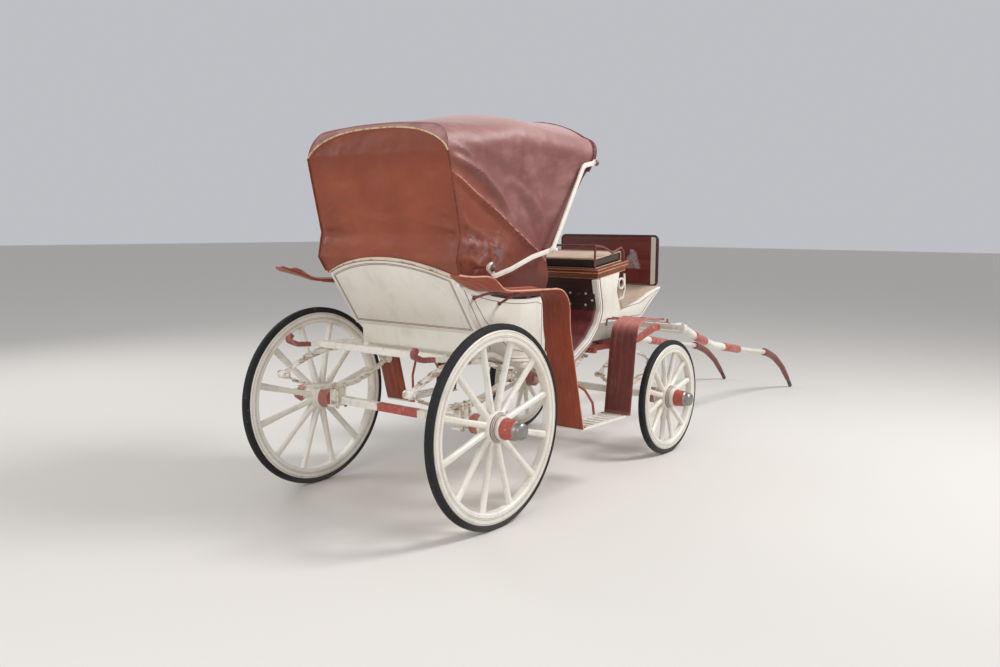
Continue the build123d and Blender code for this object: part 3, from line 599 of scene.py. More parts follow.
# %% Make the materials
seat_rear, seat_rise = (1.357, 1.235), math.tan(math.radians(7.6))
main_crease = [(-0.215, 1.884), (-0.001, 1.748), (0.211, 1.633), (0.401, 1.521), (0.640, 1.395)]
finishes = {
    "white_wood": white_paint("white painted wood", rust=0.08, dirt=0.30),
    "white_iron": white_paint("white painted iron", rust=0.7, dirt=0.6),
    "hood_props": white_paint("white prop paint", rust=0.5, dirt=0.5, over=prop_pins),
    "spring_iron": white_paint("rusty spring paint", rust=0.9, dirt=0.6, over=spring_rust),
    "rear_axle": white_paint("axle paint", rust=0.8, dirt=0.7, over=axle_band),
    "rear_carrier": white_paint("carrier paint", rust=0.4, dirt=0.5, over=carrier_ends),
    "shaft_wood": white_paint("white shaft paint", rust=0.25, dirt=0.5, over=shaft_ends),
    "hood_leather": hood_leather_finish("worn hood leather", False),
    "curtain_leather": hood_leather_finish("worn curtain leather", True),
    "worn_piping": edge_leather_finish("worn cream piping", tone(214, 190, 152), leather_rust, 0.7),
    "side_seam_shade": edge_leather_finish("side seam leather with painted shade", leather_deep, leather_rust, 0.6),
    "hood_edge": edge_leather_finish("bound leather edge", tone(92, 40, 40), tone(134, 72, 70), 0.5),
    "wing_edge_highlight": edge_leather_finish("wing edge piping with painted highlight", tone(212, 158, 136), wing_rust, 0.35),
    "pale_welt": edge_leather_finish("pale seat welt", tone(196, 180, 158), seat_brown, 0.3),
    "wing_leather": leather_finish("rear wing leather", wing_rust, tone(108, 44, 28),
                                   tone(196, 124, 94), streak=(0.35, 2.4, 0.35), over=wing_light),
    "front_wing": leather_finish("front wing leather", wing_maroon, tone(80, 34, 32), wing_pink,
                                 streak=(0.5, 2.0, 0.5), scuffs=0.4, over=front_wing_light),
    "tyre": tyre_finish(),
    "seat_wood": wood_finish("varnished seat wood", wood_dark, wood_light, along_grain=(1, 0.1, 1)),
    # Painted highlight: the orange and pale tone of the seat frame's beads.
    "moulding_highlight": wood_finish("orange moulding with painted highlight", tone(196, 112, 62), tone(222, 160, 110)),
    "dark_board": wood_finish("dark toe board", tone(40, 24, 20), tone(66, 36, 28),
                              along_grain=(1, 0.08, 1), over=toe_cover),
    "dashboard": wood_finish("dash boards", tone(104, 40, 34), tone(128, 58, 46),
                             along_grain=(1, 0.06, 1), over=dash_marks),
    "footboard": wood_finish("dusty beige footboard", tone(186, 160, 140), tone(204, 184, 164)),
    "sleeve_leather": leather_finish("shaft sleeve leather", tone(138, 76, 66), tone(96, 50, 44),
                                     tone(190, 140, 128), scuffs=0.5),
    "seat_leather": leather_finish("seat leather", seat_brown, tone(36, 26, 22),
                                   tone(120, 92, 76), scuffs=0.3, over=seat_faces),
    "cabin_leather": leather_finish("cabin leather", tone(100, 40, 36), tone(62, 24, 24),
                                    tone(150, 98, 90), scuffs=0.3),
    "red_iron": metal_finish("red painted iron", red_paint, tone(206, 186, 172)),
    "dark_iron": metal_finish("maroon iron", tone(122, 62, 56), tone(178, 118, 106)),
    "black_iron": metal_finish("black iron", tone(60, 34, 32), tone(126, 86, 74)),
    "knob_iron": metal_finish("brown iron", tone(104, 78, 72), tone(150, 124, 116), roughness=0.35),
    "hub_steel": hub_finish(),
    "coach_line": metal_finish("maroon coach line", line_maroon, tone(158, 104, 98), wear_share=0.5),
    "pale_nail": metal_finish("pale nail heads", tone(206, 198, 184), rust_brown, roughness=0.35),
    "bright_bolt": metal_finish("bolt steel", steel_grey, rust_brown, metallic=0.7, roughness=0.4),
}
for axle in ("rear", "front"):
    finishes["wheel_" + axle] = white_paint("white wheel paint " + axle, rust=0.2, dirt=0.5,
                                            lines=lambda mat: wheel_lines(mat, axle),
                                            over=lambda mat: nave_band(mat, axle))
print("made", len(finishes), "finishes")

# %% [markdown]
# ## Finer copies of the CAD pieces
#
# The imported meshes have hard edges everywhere, and real wood and iron never do. Each rigid piece is
# copied, its loose triangles merged, flat areas made one face each, and its edges rounded with a
# Bevel modifier. The copy stands for the CAD piece and rides on the same body.


# %% Round the edges of the rigid pieces
sharp = 32  # degrees between two faces, from which their edge is rounded


def finer(node, finish, bevel, segments):
    piece = own_copy(node, node + "_fine")
    edit(piece, merge, lambda: bpy.ops.mesh.dissolve_limited(angle_limit=math.radians(1.0)), outward)
    modifier(piece, "edges", "BEVEL", width=bevel, segments=segments, limit_method="ANGLE",
             angle_limit=math.radians(sharp))
    smooth(apply_modifiers(piece), sharp + 3)
    wear(piece, finish, body_of_node[node], node)


# Other pieces wear the finish of their own name or, without one, that of their slot.
own_finish = {"hood_front_bow": "hood_edge", "rear_springs": "spring_iron", "front_springs": "spring_iron",
              "toe_board": "dark_board", "dash_frame": "black_iron", "bench": "cabin_leather"}
made_anew = {"hood_leather", "passenger_cushion", "passenger_back", "driver_cushion", "rear_wings", "front_wings"}
edge_width = {"rear_springs": 0.001, "front_springs": 0.001, "steps": 0.001, "shafts": 0.001, "rear_panel": 0.004,
              "quarter_panels": 0.003, "rockers": 0.005, "seat_frame": 0.005, "dashboard": 0.003}
for node in sorted(set(frame["nodes"]) - made_anew):
    kind, axle = (node.split("_") + [""])[:2]
    finish = "wheel_" + axle if kind == "wheel" else node if node in finishes else slot_of_node[node]
    tread = kind == "tyre"
    finer(node, own_finish.get(node, finish), 0.009 if tread else edge_width.get(node, 0.0018), 4 if tread else 2)
print("finer copies:", len(frame["nodes"]) - len(made_anew))

# %% [markdown]
# ## Lines, cords and domed heads
#
# Much of what makes the carriage look real is thin: piping on the leather, painted lines, welts and
# bolt heads. A line is a row of points with its corners rounded off, a cord is a curve with a round
# section made into a mesh, and a bolt head is half a sphere, copied to each of its places.


# %% Lines with rounded corners
def along(line, share):
    """The point at a share of a line's length."""
    spots = [Vector(p) for p in line]
    lengths = [(b - a).length for a, b in zip(spots, spots[1:])]
    left = share * sum(lengths)
    for a, b, length in zip(spots, spots[1:], lengths):
        if left <= length or b is spots[-1]:
            return a.lerp(b, left / length)
        left -= length


def rounded(points, radii, steps=6):
    """A line of points with each corner turned into an arc of its own radius."""
    spots = [Vector(p) for p in points]
    line = [spots[0]]
    for before, corner, after, radius in zip(spots, spots[1:], spots[2:], radii):
        back, ahead = (before - corner).normalized(), (after - corner).normalized()
        turn = math.pi - back.angle(ahead)
        if turn < 0.02:
            line.append(corner)
            continue
        start = corner + back * radius * math.tan(turn / 2)
        centre = corner + (back + ahead).normalized() * radius / math.cos(turn / 2)
        for i in range(steps + 1):
            angle = turn * i / steps
            line.append(centre + (start - centre) * math.cos(angle) - back * radius * math.sin(angle))
    return line + [spots[-1]]


def beside(line, distance):
    """A flat line moved sideways, to the left of its run."""
    moved = []
    for i, spot in enumerate(line):
        run = (line[min(i + 1, len(line) - 1)] - line[max(i - 1, 0)]).normalized()
        moved.append(spot + Vector((-run.y, run.x)) * distance)
    return moved


# %% Cords and domed heads
def cord(spots, radius, closed=False, taper=1.0):
    """A round cord through places in the frame, as a mesh; taper is its last radius over its first."""
    curve = bpy.data.curves.new("cord", "CURVE")
    curve.dimensions, curve.use_fill_caps = "3D", True
    curve.bevel_depth, curve.bevel_resolution = radius, 4 if radius > 0.02 else 1
    spline = curve.splines.new("POLY")
    spline.points.add(len(spots) - 1)
    for i, (point, spot) in enumerate(zip(spline.points, spots)):
        point.co = (*spot, 1)
        point.radius = 1 + (taper - 1) * i / (len(spots) - 1)
    spline.use_cyclic_u = closed
    piece = bpy.data.objects.new("cord", curve)
    bpy.context.scene.collection.objects.link(piece)
    pick(piece)
    bpy.ops.object.convert(target="MESH")
    return bpy.context.object


def heads(spots, radius, height, name, finish, body):
    """Domed bolt or nail heads, each at a place and facing along a direction."""
    bpy.ops.mesh.primitive_uv_sphere_add(segments=12, ring_count=8, radius=radius)
    first = bpy.context.object
    edit(first, lambda: bpy.ops.mesh.bisect(plane_co=(0, 0, 0), plane_no=(0, 0, 1), clear_inner=True, use_fill=True),
         lambda: bpy.ops.transform.resize(value=(1, 1, height / radius)))
    copies = [copy_of(first) for spot in spots]
    for head, (place, facing) in zip(copies, spots):
        head.data.transform(Matrix.Translation(place) @ Vector(facing).to_track_quat("Z", "Y").to_matrix().to_4x4())
    bpy.data.objects.remove(first)
    dress(copies, name, finish, body)


both_sides = (-1, 1)

# %% [markdown]
# ## The hood
#
# The hood is heavy leather nailed to bent bows: one sheet over the roof and both sides, and a curtain
# at the back. A grid primitive is one sheet, and each of its corners is moved to where the leather
# hangs. The sheet is tight over the bows, hollow between them, and creased towards the elbow, where
# the irons fold. A Solidify modifier then gives it thickness.

# %% The lines that the leather follows
# Columns: x of a station, half width, then heights of the rounded corner's foot, middle, end, and the crown.
hood_stations = [(-0.200, 0.525, 1.946, 2.036, 2.084, 2.104), (0.430, 0.565, 2.020, 2.110, 2.165, 2.208),
                 (1.210, 0.604, 1.958, 2.048, 2.108, 2.238)]
skirt_half, skirt_z = 0.520, 1.150
back_line = [(-0.057, 1.302), (-0.118, 1.392), (-0.088, 1.533), (-0.186, 1.950), (-0.152, 2.104)]
rear_line = [(-0.118, 1.392), (-0.088, 1.533), (-0.186, 1.948)]
front_line = [(0.745, 1.172), (0.685, 1.320), (0.655, 1.400), (1.026, 1.973)]
low_line = [(-0.118, 1.392), (-0.057, 1.302), (0.148, 1.232), (0.434, 1.176), (0.745, 1.172)]
high_line = [(-0.186, 1.948), (0.430, 2.020), (1.026, 1.973)]
leather_thickness = 0.004


def station(x):
    """Half width and heights of the hood at a distance from the rear axle."""
    for first, second in zip(hood_stations, hood_stations[1:]):
        if x <= second[0] or second is hood_stations[-1]:
            part = (x - first[0]) / (second[0] - first[0])
            return [a + (b - a) * part for a, b in zip(first[1:], second[1:])]


def through(first, middle, last, share):
    """Point on the arc through three points."""
    (ax, ay), (bx, by), (cx, cy) = first, middle, last
    d = 2 * (ax * (by - cy) + bx * (cy - ay) + cx * (ay - by))
    ux = ((ax**2 + ay**2) * (by - cy) + (bx**2 + by**2) * (cy - ay) + (cx**2 + cy**2) * (ay - by)) / d
    uy = ((ax**2 + ay**2) * (cx - bx) + (bx**2 + by**2) * (ax - cx) + (cx**2 + cy**2) * (bx - ax)) / d
    start = math.atan2(ay - uy, ax - ux)
    end = math.atan2(cy - uy, cx - ux)
    turn = (end - start + math.pi) % (2 * math.pi) - math.pi
    reach = math.hypot(ax - ux, ay - uy)
    angle = start + turn * share
    return ux + reach * math.cos(angle), uy + reach * math.sin(angle)


# How far in from the half width the rounded corner's middle and end are.
bend_in, end_in = 0.030, 0.125


def arch(x, over, corner=0.30):
    """y and z on the hood's arch, from the foot of its rounded corner (0) to the crown (1); corner is its share."""
    half, foot, bend, end, crown = station(x)
    if over < corner:
        return through((half, foot), (half - bend_in, bend), (half - end_in, end), over / corner)
    return through((half - end_in, end), (0, crown), (end_in - half, end), (over - corner) / (1 - corner) / 2)


def side_half(x, z):
    """Half width of the hood's side at a height."""
    half, foot = station(x)[:2]
    return skirt_half + (half - skirt_half) * (min(z, foot) - skirt_z) / (foot - skirt_z)


def edge_x(z, share):
    """x between the rear edge (0) and the front edge (1) of the roof at a height."""
    rear = -0.186 + 0.22 * max(0.0, z - 1.950)
    return rear + (0.655 + 0.6486 * (z - 1.400) - rear) * share


def back_x(z):
    """x of the curtain at a height."""
    for (x0, z0), (x1, z1) in zip(back_line, back_line[1:]):
        if z <= z1 or (x1, z1) == back_line[-1]:
            return x0 + (x1 - x0) * (z - z0) / (z1 - z0)


# %% Creases and slack in the leather
def clamp(value):
    return min(1.0, max(0.0, value))


def hump(value, width):
    """One at zero, falling away smoothly on both sides."""
    return math.exp(-((value / width) ** 2))


def nearest_on(line, spot):
    """Distance of a spot from a line, and the share of the line's run at its nearest place."""
    runs = [(b - a).length for a, b in zip(line, line[1:])]
    nearest, share, done = 9.0, 0.0, 0.0
    for a, b, run in zip(line, line[1:], runs):
        part = clamp((spot - a).dot(b - a) / run**2)
        gap = (spot - a.lerp(b, part)).length
        if gap < nearest:
            nearest, share = gap, (done + part * run) / sum(runs)
        done += run
    return nearest, share


def crease(spot, line, height, width):
    """How far a crease along a line lifts the leather at a spot."""
    nearest, share = nearest_on(line, spot)
    if nearest > 3 * width:
        return 0.0
    return height * hump(nearest, width) * math.sqrt(max(0.0, math.sin(math.pi * share)))

def creased(rows):
    return [(height, width, [Vector(p) for p in line]) for height, width, line in rows]


# Columns: height, width, and the places in x and z that a crease runs through.
side_creases = creased([
    (0.019, 0.015, main_crease),
    (0.029, 0.021, [(-0.260, 1.935), (-0.085, 1.900), (0.060, 1.845), (0.210, 1.733), (0.350, 1.575)]),
    (0.022, 0.028, [(0.290, 1.830), (0.397, 1.783), (0.496, 1.718), (0.579, 1.638), (0.630, 1.540)]),
    (0.015, 0.014, [(-0.230, 1.972), (-0.134, 1.978), (-0.069, 1.955), (0.010, 1.905)]),
    (0.010, 0.034, [(-0.060, 2.020), (0.150, 1.960), (0.350, 1.890), (0.560, 1.770)]),
    (0.010, 0.018, [(-0.110, 1.500), (0.050, 1.470), (0.200, 1.462), (0.360, 1.430)]),
    (0.009, 0.014, [(-0.080, 1.590), (0.060, 1.535), (0.200, 1.490), (0.330, 1.470)]),
    (0.009, 0.014, [(-0.070, 1.640), (-0.030, 1.560), (-0.060, 1.440), (-0.080, 1.370)]),
    (0.008, 0.016, [(0.020, 1.420), (0.050, 1.350), (0.040, 1.280)]),
    (0.007, 0.016, [(0.110, 1.400), (0.130, 1.330), (0.120, 1.260)]),
    (0.010, 0.045, [(0.700, 1.560), (0.820, 1.760), (0.960, 1.930)]),
    (0.008, 0.022, [(0.420, 1.390), (0.560, 1.330), (0.720, 1.300)]),
])
# The same for the curtain, in y and z, on its right half; the left half mirrors it.
curtain_creases = creased([
    (0.012, 0.030, [(-0.560, 1.455), (-0.300, 1.470), (0.000, 1.462), (0.300, 1.470), (0.560, 1.455)]),
    (-0.009, 0.016, [(-0.640, 1.530), (-0.420, 1.522), (-0.280, 1.516)]),
    (0.010, 0.016, [(-0.640, 1.560), (-0.420, 1.570), (-0.230, 1.600)]),
    (0.008, 0.016, [(-0.640, 1.500), (-0.430, 1.470), (-0.300, 1.430)]),
    (0.007, 0.014, [(-0.620, 1.600), (-0.440, 1.640), (-0.340, 1.690)]),
    (0.006, 0.024, [(-0.500, 1.800), (-0.200, 1.720), (0.060, 1.640)]),
    (0.006, 0.030, [(-0.350, 1.640), (0.000, 1.610), (0.300, 1.640)]),
])
# The leather stays outside the three bows.
bow_lines = [[Vector(p) for p in line] for line in (
    [(0.616, 1.443), (0.430, 1.960), (0.430, 1.890), (0.430, 2.040)],
    [(0.616, 1.443), (-0.156, 1.925), (-0.175, 1.900), (-0.160, 2.000), (-0.090, 2.104)],
    [(0.616, 1.443), (1.030, 1.940)])]


def crumpled(x, y, z, finer_parts=4, lacunarity=2.1):
    """Uneven noise at a place of its own pattern."""
    return noise.fractal(Vector((x, y, z)), 0.9, lacunarity, finer_parts)


def side_relief(x, z):
    """How far the side of the hood stands out, from its creases and hollows."""
    spot = Vector((x, z))
    out = sum(crease(spot, line, height, width) for height, width, line in side_creases)
    away = spot - Vector(elbow)
    angle = math.degrees(math.atan2(away.y, away.x)) % 360
    hollow = 0.0
    for low, high, depth in ((57, 103, 0.026), (103, 145, 0.022)):
        if low < angle < high:
            hollow = depth * math.sin(math.pi * (angle - low) / (high - low)) ** 2
    hollow *= min(1.0, away.length / 0.35) * clamp((2.02 - z) / 0.12)
    near_foot = hump(z - 1.42, 0.12) * hump(x + 0.02, 0.25)
    relief = out - hollow + crumpled(x * 7, z * 9, 3.1) * 0.005
    relief += near_foot * crumpled(x * 16, z * 26, 1.7, 3, 2.0) * 0.011
    from_bow = min(nearest_on(line, spot)[0] for line in bow_lines)
    return max(relief, -0.5 * max(0.0, from_bow - 0.020))


# %% Where each part of the sheets goes
side_share = 0.56
curtain_x = -0.18
rear_bow_x, middle_bow_x, front_bow_x = -0.11, 0.43, 1.17


def roof_place(share, across):
    """share runs from rear to front; across from the right hem (-1) over the roof to the left (1)."""
    side = -1 if across < 0 else 1
    climb = 1 - abs(across)
    edge = min(1, share / 0.06) * min(1, (1 - share) / 0.05)
    if climb > side_share:
        over = (climb - side_share) / (1 - side_share)
        x, z = along(high_line, share)
        for attempt in range(4):
            y, z = arch(x, over)
            x = edge_x(z, share)
        start, end = (rear_bow_x, middle_bow_x) if x < middle_bow_x else (middle_bow_x, front_bow_x)
        sag = 0.014 * math.sin(math.pi * clamp((x - start) / (end - start))) ** 2 * min(1.0, over / 0.3)
        ripple = crumpled(x * 5, y * 4, 7.7) * 0.005 * over
        tuck = side_relief(x, z) * max(0.0, 1 - over / 0.25) * edge
        return Vector((x, side * (y + tuck), z - sag + ripple))
    rise = climb / side_share
    low, high = along(low_line, share), along(high_line, share)
    rear, front = along(rear_line, rise), along(front_line, rise)
    corners = ((1 - share) * (1 - rise) * Vector(rear_line[0]) + (1 - share) * rise * Vector(rear_line[-1])
               + share * (1 - rise) * Vector(front_line[0]) + share * rise * Vector(front_line[-1]))
    x, z = (1 - share) * rear + share * front + (1 - rise) * low + rise * high - corners
    tucked = max(0.0, 1 - rise / 0.16) ** 1.5 * min(1.0, share / 0.25)
    y = side_half(x, z) + side_relief(x, z) * edge * min(1, rise / 0.08)
    return Vector((x, side * (y - (skirt_half - body_half - 0.008) * tucked), z))


def curtain_place(right_to_left, up):
    """The curtain at the back, from right to left and from the hem on the crest up to the bow."""
    across, rise = right_to_left * 2 - 1, (up + 1) / 2
    side = abs(across)
    y_top, z_top = arch(curtain_x, 1 - side, 0.24)
    z_low = crest_at(side * skirt_half) - 0.006
    z = z_low + (z_top - z_low) * rise
    y = side_half(curtain_x, z) * side
    y += (y_top - y) * clamp((z - z_low) / (station(curtain_x)[1] - z_low)) ** 6
    y = math.copysign(y, across)
    spot = Vector((-abs(y), z))
    relief = 0.016 * math.sin(math.pi * min(1, rise * 1.1)) * (1 - side**2)
    relief += sum(crease(spot, line, height, width) for height, width, line in curtain_creases)
    relief += crumpled(y * 5, z * 6, 5.3) * 0.007
    near_corner = hump(side - 0.9, 0.12) * hump(z - 1.50, 0.11)
    relief += near_corner * crumpled(y * 20, z * 24, 2.3, 3) * 0.014
    inside = min(1, (1 - side) / 0.10) * min(1, (1 - rise) / 0.08) * min(1.0, rise / 0.05)
    return Vector((back_x(z) + 0.003 - relief * inside, y, z))


# %% Make a sheet from a grid primitive
def sheet_from_grid(name, columns, rows, place, thickness, towards):
    """A grid whose corners are sent to their places, with its faces looking towards a direction on the whole."""
    bpy.ops.mesh.primitive_grid_add(x_subdivisions=columns, y_subdivisions=rows, size=2)
    piece = bpy.context.object
    piece.name = piece.data.name = name
    for vertex in piece.data.vertices:
        vertex.co = at(*place((vertex.co.x + 1) / 2, vertex.co.y))
    edit(piece, outward)
    if sum((f.normal * f.area for f in piece.data.polygons), Vector()).dot(Vector(towards)) < 0:
        edit(piece, lambda: bpy.ops.mesh.flip_normals())
    print(name, "takes", round(sum(f.area for f in piece.data.polygons), 2), "square metres of leather")
    modifier(piece, "thickness", "SOLIDIFY", thickness=thickness, offset=-1)
    smooth(apply_modifiers(piece))
    return piece


crest_reach, crest_centre = 1.122, -0.639
back_half = 0.474
back_low, back_top = (0.125, 0.992), (-0.086, 1.306)
back_tilt = math.atan2(back_low[0] - back_top[0], back_top[1] - back_low[1])


def crest_at(y):
    """Height of the back board's top edge."""
    if y >= back_half:
        return 1.304
    return back_low[1] + (crest_centre + math.sqrt(crest_reach**2 - y**2)) * math.cos(back_tilt)

roof = sheet_from_grid("hood_roof_skin", 110, 170, roof_place, leather_thickness, (0, 0, 1))
curtain = sheet_from_grid("hood_curtain_skin", 84, 80, curtain_place, leather_thickness, (-1, 0, 0))

# %% [markdown]
# The hood folds about its elbow, and the three bows fan out as they turn: the front one goes all
# the way, the middle one a bit over half and the rear one a third.

# %% Bake each piece's place and work out its share of the bows' turn
fold_shares = [(-60, 0.0), (30, 1.0), (61, 1.0), (106, 0.557), (138, 0.330), (149.5, 0.311), (184, 0.0), (300, 0.0)]


def fold_share(x, z):
    angle = math.degrees(math.atan2(z - elbow[1], x - elbow[0]))
    if angle < -60:
        angle += 360
    for (a, first), (b, second) in zip(fold_shares, fold_shares[1:]):
        if angle <= b:
            return first + (second - first) * (angle - a) / (b - a)
    return 0.0


def fold_with_bows(piece):
    at(-0.2, 0, 1.4)
    at(1.1, 0, 2.1)
    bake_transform(piece)
    shares = [fold_share(v.co.x - axle_x, v.co.z) for v in piece.data.vertices]


def front_x(z):
    """x just ahead of the roof's front edge at a height."""
    return edge_x(z, 1) + 0.001


def front_edge():
    """Places along the front edge, from the right side over the crown to the left."""
    spots = [(front_x(z), side_half(front_x(z), z), z) for z in (1.42, 1.60, 1.78, 1.93)]
    for i in range(17):
        z = 2.0
        for attempt in range(4):
            y, z = arch(front_x(z), i / 16)
        spots.append((front_x(z), y, z))
    return [at(x, -y, z) for x, y, z in spots] + [at(*p) for p in spots[-2::-1]]


def rear_seam():
    """Places where the seam lies on the curtain, found by a ray from behind at each height."""
    surface = BVHTree.FromPolygons([v.co.copy() for v in curtain.data.vertices],
                                   [list(f.vertices) for f in curtain.data.polygons])
    for i in range(65):
        y = 0.524 * math.sin(math.pi / 2 * (i / 32 - 1))
        z = seam_foot + seam_rise * (1 - min(1.0, abs(y) / seam_half) ** 2.6) ** (1 / 1.7)
        found = surface.ray_cast(at(-0.5, y, z), Vector((1, 0, 0)))[0]
        if found:
            yield found + Vector((-0.0015, 0, 0))


wear(roof, "hood_leather", node="hood_leather")
wear(curtain, "curtain_leather", node="hood_leather")
# The side seams are dark cords: a real seam, made darker as painted shade along it.
side_heights = (1.31, 1.35, 1.39, 1.44, 1.49, 1.53, 1.60, 1.70, 1.80, 1.90, 1.945)
rear_sides = [cord([at(back_x(z) - 0.001, side * (side_half(back_x(z), z) + 0.001), z) for z in side_heights], 0.0045)
              for side in both_sides]
for piece in (roof, curtain,
              dress([cord(list(rear_seam()), 0.0052)], "hood_rear_piping", "worn_piping"),
              dress([cord(front_edge(), 0.0050)], "hood_front_piping", "hood_edge"),
              dress(rear_sides, "hood_side_piping", "side_seam_shade")):
    fold_with_bows(piece)

# %% [markdown]
# ## Seats
#
# The cushions are stuffed leather. Each starts as a slightly smaller copy of its CAD block, is cut
# into small even faces by a voxel remesh, and is blown up by the Cloth modifier's pressure without
# gravity. No point may move further than the stuffing would let it, and the underside stays flat
# where it lies on the board. Sewn channels and welts come after that.


# %% Stuff the cushions
stuffing_frames = 20


def stuffed(node, finish, most, voxel, channels=0.0, round_edge=0.012):
    """A cushion; most is how far a point may move, and channels the distance between its sewn lines."""
    block = own_copy(node, node + "_stuffed")
    edit(block, merge, outward)
    middle = sum(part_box(node), Vector()) / 2
    for vertex in block.data.vertices:
        vertex.co -= Vector([math.copysign(most * 0.8, s) for s in vertex.co - middle])
    modifier(block, "round edges", "BEVEL", width=round_edge, segments=3, limit_method="ANGLE")
    modifier(block, "even faces", "REMESH", mode="VOXEL", voxel_size=voxel)
    apply_modifiers(block)
    before = [(v.co.copy(), v.normal.copy()) for v in block.data.vertices]
    cloth = block.modifiers.new("stuffing", "CLOTH")
    cloth.settings.use_pressure = True
    cloth.settings.uniform_pressure_force = 4
    cloth.settings.effector_weights.gravity = 0
    cloth.point_cache.frame_end = stuffing_frames
    for moment in range(1, stuffing_frames + 1):
        bpy.context.scene.frame_set(moment)
    apply_modifiers(block)
    bpy.context.scene.frame_set(1)
    for vertex, (start, normal) in zip(block.data.vertices, before):
        move = vertex.co - start
        if move.length > most:
            move *= most / move.length
        if normal.z < -0.7:
            move.z *= 0.1
        vertex.co = start + move
        if channels and normal.z > -0.5:
            phase = (start.y / channels + 0.5) % 1 - 0.5
            vertex.co -= normal * 0.010 * hump(phase * channels, 0.009)
    modifier(block, "subdivision", "SUBSURF", levels=1, render_levels=1)
    apply_modifiers(block)
    bpy.ops.object.shade_smooth()
    wear(block, finish, "body", node)


stuffed("driver_cushion", "seat_leather", 0.007, 0.008, round_edge=0.006)
stuffed("passenger_cushion", "cabin_leather", 0.018, 0.010, channels=0.14)
stuffed("passenger_back", "cabin_leather", 0.014, 0.010, channels=0.14)


def on_seat(x, y, height):
    """A place over the sloping underside of the driver's seat frame."""
    return at(x, y, seat_rear[1] + (x - seat_rear[0]) * seat_rise + height)


def seat_loop(x_low, x_high, half, height, radius):
    corners = [(x_low, -half), (x_high, -half), (x_high, half), (x_low, half)]
    return cord([on_seat(x, y, height) for x, y in corners], radius, closed=True)


welt_x, welt_half, welt_heights = (1.3825, 1.7045), 0.4165, (0.067, 0.1285)
welts = [seat_loop(*welt_x, welt_half, height, 0.0035) for height in welt_heights]
welts += [cord([on_seat(x, y, height) for height in welt_heights], 0.0035)
          for x in welt_x for y in (-welt_half, welt_half)]
dress(welts, "driver_cushion_welts", "pale_welt", "body")
# The beads are the seat frame's mouldings; their orange and pale colour is a painted highlight.
beads = [seat_loop(1.3605, 1.7345, 0.4530, 0.0405, 0.0042), seat_loop(1.3570, 1.7380, 0.4560, 0.0610, 0.0032),
         seat_loop(1.3705, 1.7245, 0.4430, 0.0030, 0.0030)]
dress(beads, "seat_frame_beads", "moulding_highlight", "body")

# %% [markdown]
# ## Wings
#
# The wings are stiff leather sheets over iron edges, bent over the wheels and down to the steps. The
# path of each is a line with rounded corners, seen from the side. A grid follows it, with soft folds
# along its length, and rolled cords bind its edges.

# %% Rear and front wings
rear_path = rounded([(-0.292, 1.334), (-0.070, 1.250), (0.532, 1.238), (0.548, 1.000), (0.625, 0.700),
                     (0.700, 0.4175)], [0.220, 0.125, 0.300, 0.300])
front_path = rounded([(1.560, 0.985), (1.405, 1.008), (1.285, 0.968), (1.258, 0.860), (1.2055, 0.4175)],
                     [0.150, 0.070, 0.150])
leaf_inner = [(-0.320, 0.652), (-0.210, 0.612), (-0.060, 0.604)]
leaf_outer = [(-0.320, 0.652), (-0.225, 0.752), (-0.060, 0.785)]
wing_width, wing_thickness = 0.181, 0.007


def leaf_edge(curve, x):
    """y of the leaf's edge at a place along the wing, where its tip narrows."""
    if x >= curve[-1][0]:
        return curve[-1][1]
    low, high = 0.0, 1.0
    for attempt in range(20):
        part = (low + high) / 2
        if through(*curve, part)[0] < x:
            low = part
        else:
            high = part
    return through(*curve, low)[1]


def wing_skin(name, path, side, edges_at, finish, seed, flare=(0, 0)):
    """A wing's sheet; flare lifts its outer edge by a height at a place. Its two edge lines are returned."""
    columns = 150
    spots = [along(path, i / columns) for i in range(columns + 1)]
    length = sum((b - a).length for a, b in zip(path, path[1:]))

    def spot_of(i, part, lift):
        spot = spots[i]
        run = (spots[min(i + 1, columns)] - spots[max(i - 1, 0)]).normalized()
        inner, outer = edges_at(spot.x)
        x, z = spot + Vector((-run.y, run.x)) * lift
        z += flare[0] * hump(x - flare[1], 0.085) * part**2
        return Vector((x, side * (inner + (outer - inner) * part), z))

    def place(share, across):
        part = (across + 1) / 2
        depth = part * wing_width
        ridges = sum(hump(depth - ridge, 0.006) for ridge in (0.0465, 0.0905, 0.1345))
        folds = crumpled(depth * 26, share * length * 2.2, seed, 3, 2.0) * 0.0045
        dents = crumpled(depth * 9, share * length * 9, seed + 4, 3) * 0.0025
        inside = min(1, part / 0.1) * min(1, (1 - part) / 0.1) * min(1, share / 0.03) * min(1, (1 - share) / 0.02)
        return spot_of(round(share * columns), part, (ridges * 0.0028 + folds + dents - 0.002) * inside + 0.001)

    skin = sheet_from_grid(name, columns, 26, place, wing_thickness, (0.3, 0, 1))
    wear(skin, finish, "body", name.rsplit("_", 2)[0] + "s")
    return [[at(*spot_of(i, part, 0)) for i in range(0, columns + 1, 2)] for part in (0.025, 0.975)]


rolls, rear_rolls, pipings = [], [], []
for side, hand, flare in ((-1, "right", (0.045, -0.15)), (1, "left", (0.062, -0.07))):
    inner, outer = wing_skin("rear_wing_skin_" + hand, rear_path, side,
                             lambda x: (leaf_edge(leaf_inner, x), leaf_edge(leaf_outer, x)),
                             "wing_leather", 3.0 + side, flare)
    rear_rolls.append(cord(inner, 0.0070))
    pipings.append(cord(outer, 0.0060))
    edges = wing_skin("front_wing_skin_" + hand, front_path, side, lambda x: (0.618, 0.799), "front_wing", 9.0 + side)
    rolls += [cord(edge, 0.0075) for edge in edges]
dress(rolls, "wing_rolled_edges", "front_wing", "body")
dress(rear_rolls, "rear_wing_rolled_edges", "wing_leather", "body")
# The outer piping's pale colour is a painted highlight along the rear wings' edge.
dress(pipings, "rear_wing_piping", "wing_edge_highlight", "body")

# %% [markdown]
# ## Coach lines
#
# A coach painter draws thin maroon lines along every panel with a long brush. Here each is a fine cord
# laid half into the paint, so that it stays crisp close up. The lines follow the same edges as the
# panels: the crested back, the rail, the corner strip and the sweep of the front pillar.

